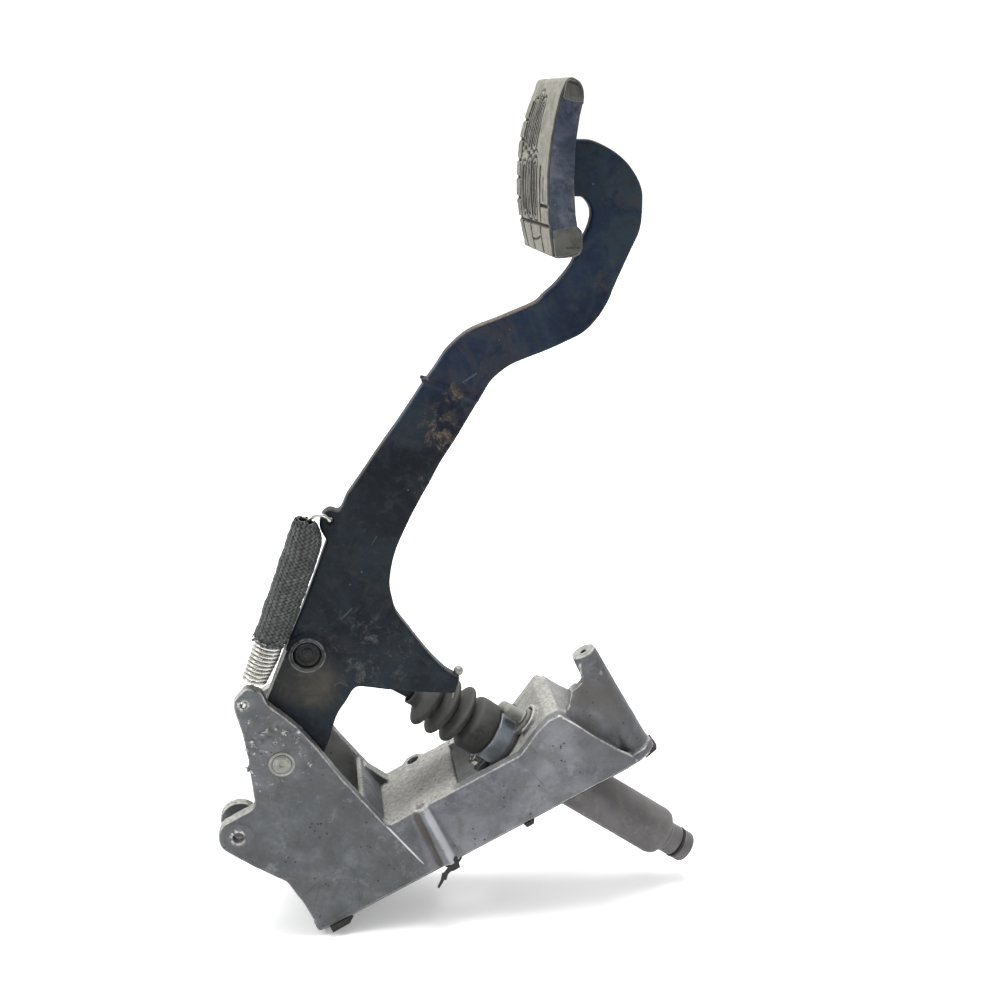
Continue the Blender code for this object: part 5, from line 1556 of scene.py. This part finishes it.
# bellows
BOOT_OUT = [
    (13.6, 46.0), (15.4, 46.0), (17.6, 45.0), (18.2, 41), (18.2, 35), (17.6, 31.6), (14.6, 29.6), (11.8, 28.2),
    (14.8, 26.4), (18.6, 24.4), (19.9, 22.6), (19.0, 20.9), (14.6, 19.0), (11.4, 17.4), (14.4, 15.2),
    (18.4, 13.2), (19.8, 11.4), (18.9, 9.7), (14.4, 7.8), (11.0, 6.2), (13.6, 4.2), (17.2, 2.2), (18.6, 0.4),
    (17.8, -1.4), (13.6, -3.6), (9.6, -5.4), (8.2, -7.4), (8.2, -11.6),
]
BOOT_IN = [
    (7.1, -11.6), (7.1, -7.0), (8.8, -4.0), (13.0, -2.0), (15.6, -0.6), (13.6, 1.4), (9.2, 4.2), (9.4, 7.6),
    (14.0, 9.2), (17.2, 10.6), (14.6, 12.6), (9.8, 15.6), (9.9, 18.8), (14.4, 20.6), (17.4, 22.0),
    (14.8, 24.0), (10.2, 27.0), (10.4, 29.6), (14.4, 31.2), (15.6, 33.2), (14.8, 33.6), (14.8, 39.4),
    (13.6, 40.0),
]
boot = turned("bellows", spline(BOOT_OUT, 3) + BOOT_IN, None, 96, closed=True, angle=50)
rod_w = (
    ROD_PIN[0] * math.cos(math.radians(PITCH)) + ROD_PIN[1] * math.sin(math.radians(PITCH)),
    -ROD_PIN[0] * math.sin(math.radians(PITCH)) + ROD_PIN[1] * math.cos(math.radians(PITCH)),
)
ca = math.radians(CYL_DIP)
rod_t = (rod_w[0] - CYL_A0[0]) * math.cos(ca) - (rod_w[1] - CYL_A0[1]) * math.sin(ca)
rod_n = (rod_w[0] - CYL_A0[0]) * math.sin(ca) + (rod_w[1] - CYL_A0[1]) * math.cos(ca)
for v in boot.data.vertices:
    t = v.co.z / MM
    off = rod_n * (BALL_T - t) / (BALL_T - rod_t)
    v.co.x -= off * min(1.0, max(0.0, (28.0 - t) / 36.0)) * MM
    r = math.hypot(v.co.x, v.co.y)
    if r > 0.011:
        k = 1 + 0.018 * noise.noise(Vector((v.co.x * 60, v.co.y * 60, t * 0.16)))
        v.co.x *= k
        v.co.y *= k
        v.co.z += 0.0006 * noise.noise(Vector((v.co.x * 45, v.co.y * 45, t * 0.11 + 7)))
boot.data.transform(CYL)
boot.data.materials.clear()
boot.data.materials.append(M["rubber"])
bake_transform(boot)
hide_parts("dust_boot")

# ================================================================== return spring and sleeve
low, top = Vector(COIL_LOW), Vector(COIL_TOP)
axis = (top - low).normalized()
side = axis.cross(Vector((0, 1, 0))).normalized()
across = axis.cross(side).normalized()
BEND = axis.cross(Vector((0, -1, 0))).normalized()
if BEND.x < 0:
    BEND = -BEND
PTS = 22
steps = COIL_TURNS * PTS
coil = []
for i in range(steps + 1):
    ang = math.radians(270) + math.tau * i / PTS
    zc = (top - low).length * i / steps
    rc = float(np.interp(zc, [0, 18, 85, 101], [6.5, 7.8, 7.6, 6.8]))
    ox = float(np.interp(zc, [0, 18, 85, 98, 101], [0, 1.3, 1.9, 0.6, 0]))
    coil.append(low + (top - low) * (i / steps) + BEND * ox + side * (rc * math.cos(ang)) + across * (rc * math.sin(ang)))
hook_lo = [
    Vector((-64.6, -25.0, 154.6)), Vector((-66.8, -25.6, 149.5)), Vector((-69.6, -26.2, 146.0)),
    Vector((-70.5, -28.4, 144.8)), Vector((-70.5, -31.5, 144.6)), Vector((-70.5, -35.4, 144.7)),
    Vector((-70.2, -38.2, 145.4)), Vector((-69.0, -38.8, 147.6)),
]
hook_hi = [
    Vector((-28.0, -28.8, 257.6)), Vector((-25.0, -30.6, 260.6)), Vector((-20.8, -30.4, 262.0)),
    Vector((-16.8, -30.0, 260.6)), Vector((-14.5, -28.8, 257.6)), Vector((-14.3, -22.0, 256.6)),
    Vector((-14.8, -15.2, 257.2)), Vector((-16.0, -13.6, 258.4)),
]
lo_pts = spline([tuple(p) for p in hook_lo[::-1]] + [tuple(coil[0]), tuple(coil[6])], 6)[:-6]
hi_pts = spline([tuple(coil[-7]), tuple(coil[-1])] + [tuple(p) for p in hook_hi], 6)[6:]
wire_pts = lo_pts[:-1] + [tuple(p) for p in coil] + hi_pts[1:]
spring = tube("return_spring_coil", wire_pts, SPRING_WIRE_R, 10)
spring.data.materials.append(M["spring"])
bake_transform(spring)
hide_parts("return_spring")

# braided sleeve: a dark liner that stands in for the shade inside it, and two families of flat strands, over and under
SLEEVE_LO, SLEEVE_HI = 28.0, 106.4
SL = Matrix.Translation(low * MM) @ axis.to_track_quat("Z", "Y").to_matrix().to_4x4()


def sleeve_r(z):
    zs = [24.0, 27.0, 35.6, 48.0, 60.5, 74.0, 85.3, 94.0, 98.8, 102.5, 105.2, 106.6]
    rs = [10.2, 10.0, 9.8, 10.1, 9.9, 10.2, 10.2, 9.9, 9.5, 8.6, 7.0, 5.4]
    return float(np.interp(z, zs, rs)) + 0.16 * math.sin(z * 0.42) + 0.10 * math.sin(z * 1.13 + 1)


def sleeve_bend(z):
    zs = [20.0, 26.75, 35.6, 60.5, 85.3, 98.8, 105.7, 107.0]
    os = [0.4, 0.7, 1.7, 1.8, 2.2, 1.3, -0.6, -0.9]
    return float(np.interp(z, zs, os))


STRANDS, TURN_MM = ((18, 44.0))
verts, faces, strand_tone_and_light = [], [], []
NS = 170
STRAND_TONE = np.random.default_rng(5).uniform(0.25, 1.0, 64)
for fam in (1, -1):
    for s in range(STRANDS):
        base_a = math.tau * s / STRANDS + (0.09 if fam < 0 else 0)
        hi_end = SLEEVE_HI + 0.6 * math.sin(s * 2.1)
        lo_end = SLEEVE_LO + 1.2 + 2.6 * math.sin(s * 1.7 + fam) + 1.2 * math.sin(s * 4.1)
        prev = None
        for i in range(NS + 1):
            z = lo_end + (hi_end - lo_end) * i / NS
            a = base_a + fam * math.tau * (z - SLEEVE_LO) / TURN_MM
            phase = (2 * math.tau * (z - SLEEVE_LO) / TURN_MM) * STRANDS / 2 + (0 if fam > 0 else math.pi)
            r = sleeve_r(z) + 0.34 * math.sin(phase) + 0.14 * math.sin(a * 3 + z * 0.2)
            wob = 0.02 * math.sin(z * 0.35 + s * 1.3)
            c = Vector((r * math.cos(a + wob), r * math.sin(a + wob), z))
            rad = Vector((math.cos(a + wob), math.sin(a + wob), 0))
            da = fam * math.tau / TURN_MM
            tg = Vector((-r * math.sin(a) * da, r * math.cos(a) * da, 1)).normalized()
            wd = rad.cross(tg).normalized()
            half, th = 0.96, 0.34
            quad = [c - wd * half, c - wd * half * 0.35 + rad * th, c + wd * half * 0.35 + rad * th, c + wd * half, c - rad * th * 0.6]
            idx = len(verts)
            verts += [q * MM for q in quad]
            # painted light: each strand's ridge is lighter than its edges, and it is lighter where it passes over and
            # darker where it passes under; its own tone varies at random
            over = 0.5 + 0.5 * math.sin(phase)
            lit = over * STRAND_TONE[s + (32 if fam < 0 else 0)]
            strand_tone_and_light += [lit * 0.25, lit, lit, lit * 0.25, 0.0]
            if prev is not None:
                for k in range(5):
                    m = (k + 1) % 5
                    faces.append([prev + k, prev + m, idx + m, idx + k])
            else:
                faces.append([idx + k for k in range(5)])
            prev = idx
        faces.append([prev + k for k in range(4, -1, -1)])
braid = mesh_object("sleeve_braid", verts, faces, SL)
liner = turned(
    "sleeve_liner",
    [(sleeve_r(z) - 0.35, z) for z in np.linspace(SLEEVE_HI, SLEEVE_LO, 40)]
    + [(sleeve_r(z) - 0.95, z) for z in np.linspace(SLEEVE_LO + 0.3, SLEEVE_HI - 0.2, 40)],
    SL, 48, closed=True,
)
bm = bmesh.new()
bm.from_mesh(braid.data)
bm.from_mesh(liner.data)
bmesh.ops.recalc_face_normals(bm, faces=bm.faces)
bm.to_mesh(braid.data)
bm.free()
bpy.data.objects.remove(liner, do_unlink=True)
tones = braid.data.attributes.new("strand_tone_and_light", "FLOAT", "POINT")
vals = np.zeros(len(braid.data.vertices), dtype=np.float32)
vals[:len(strand_tone_and_light)] = strand_tone_and_light
tones.data.foreach_set("value", vals)
for v in braid.data.vertices:
    z = (v.co - low * MM).dot(axis) / MM
    v.co += BEND * (sleeve_bend(z) * MM)
smooth(braid, 60)
print("braid polygons", len(braid.data.polygons))
dress(braid, "braid", "spring_upper", "braided_sleeve", "spring_sleeve")

# the piston's return spring, copied from the CAD coil
inner = cad_copy("cylinder_return_spring", "bore_spring_coil", dissolve=False)
inner.data.materials.clear()
inner.data.materials.append(M["spring"])
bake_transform(inner)
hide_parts("cylinder_return_spring")

# ================================================================== pieces inside the cylinder keep their solids
for node, mat in {
    "piston": "piston", "primary_seal": "gasket", "secondary_seal": "gasket", "piston_stop_washer": "zinc",
    "piston_circlip": "spring",
}.items():
    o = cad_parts[node]
    if not o.material_slots:
        o.data.materials.append(M[mat])
    for sl in o.material_slots:
        sl.link = "OBJECT"
        sl.material = M[mat]
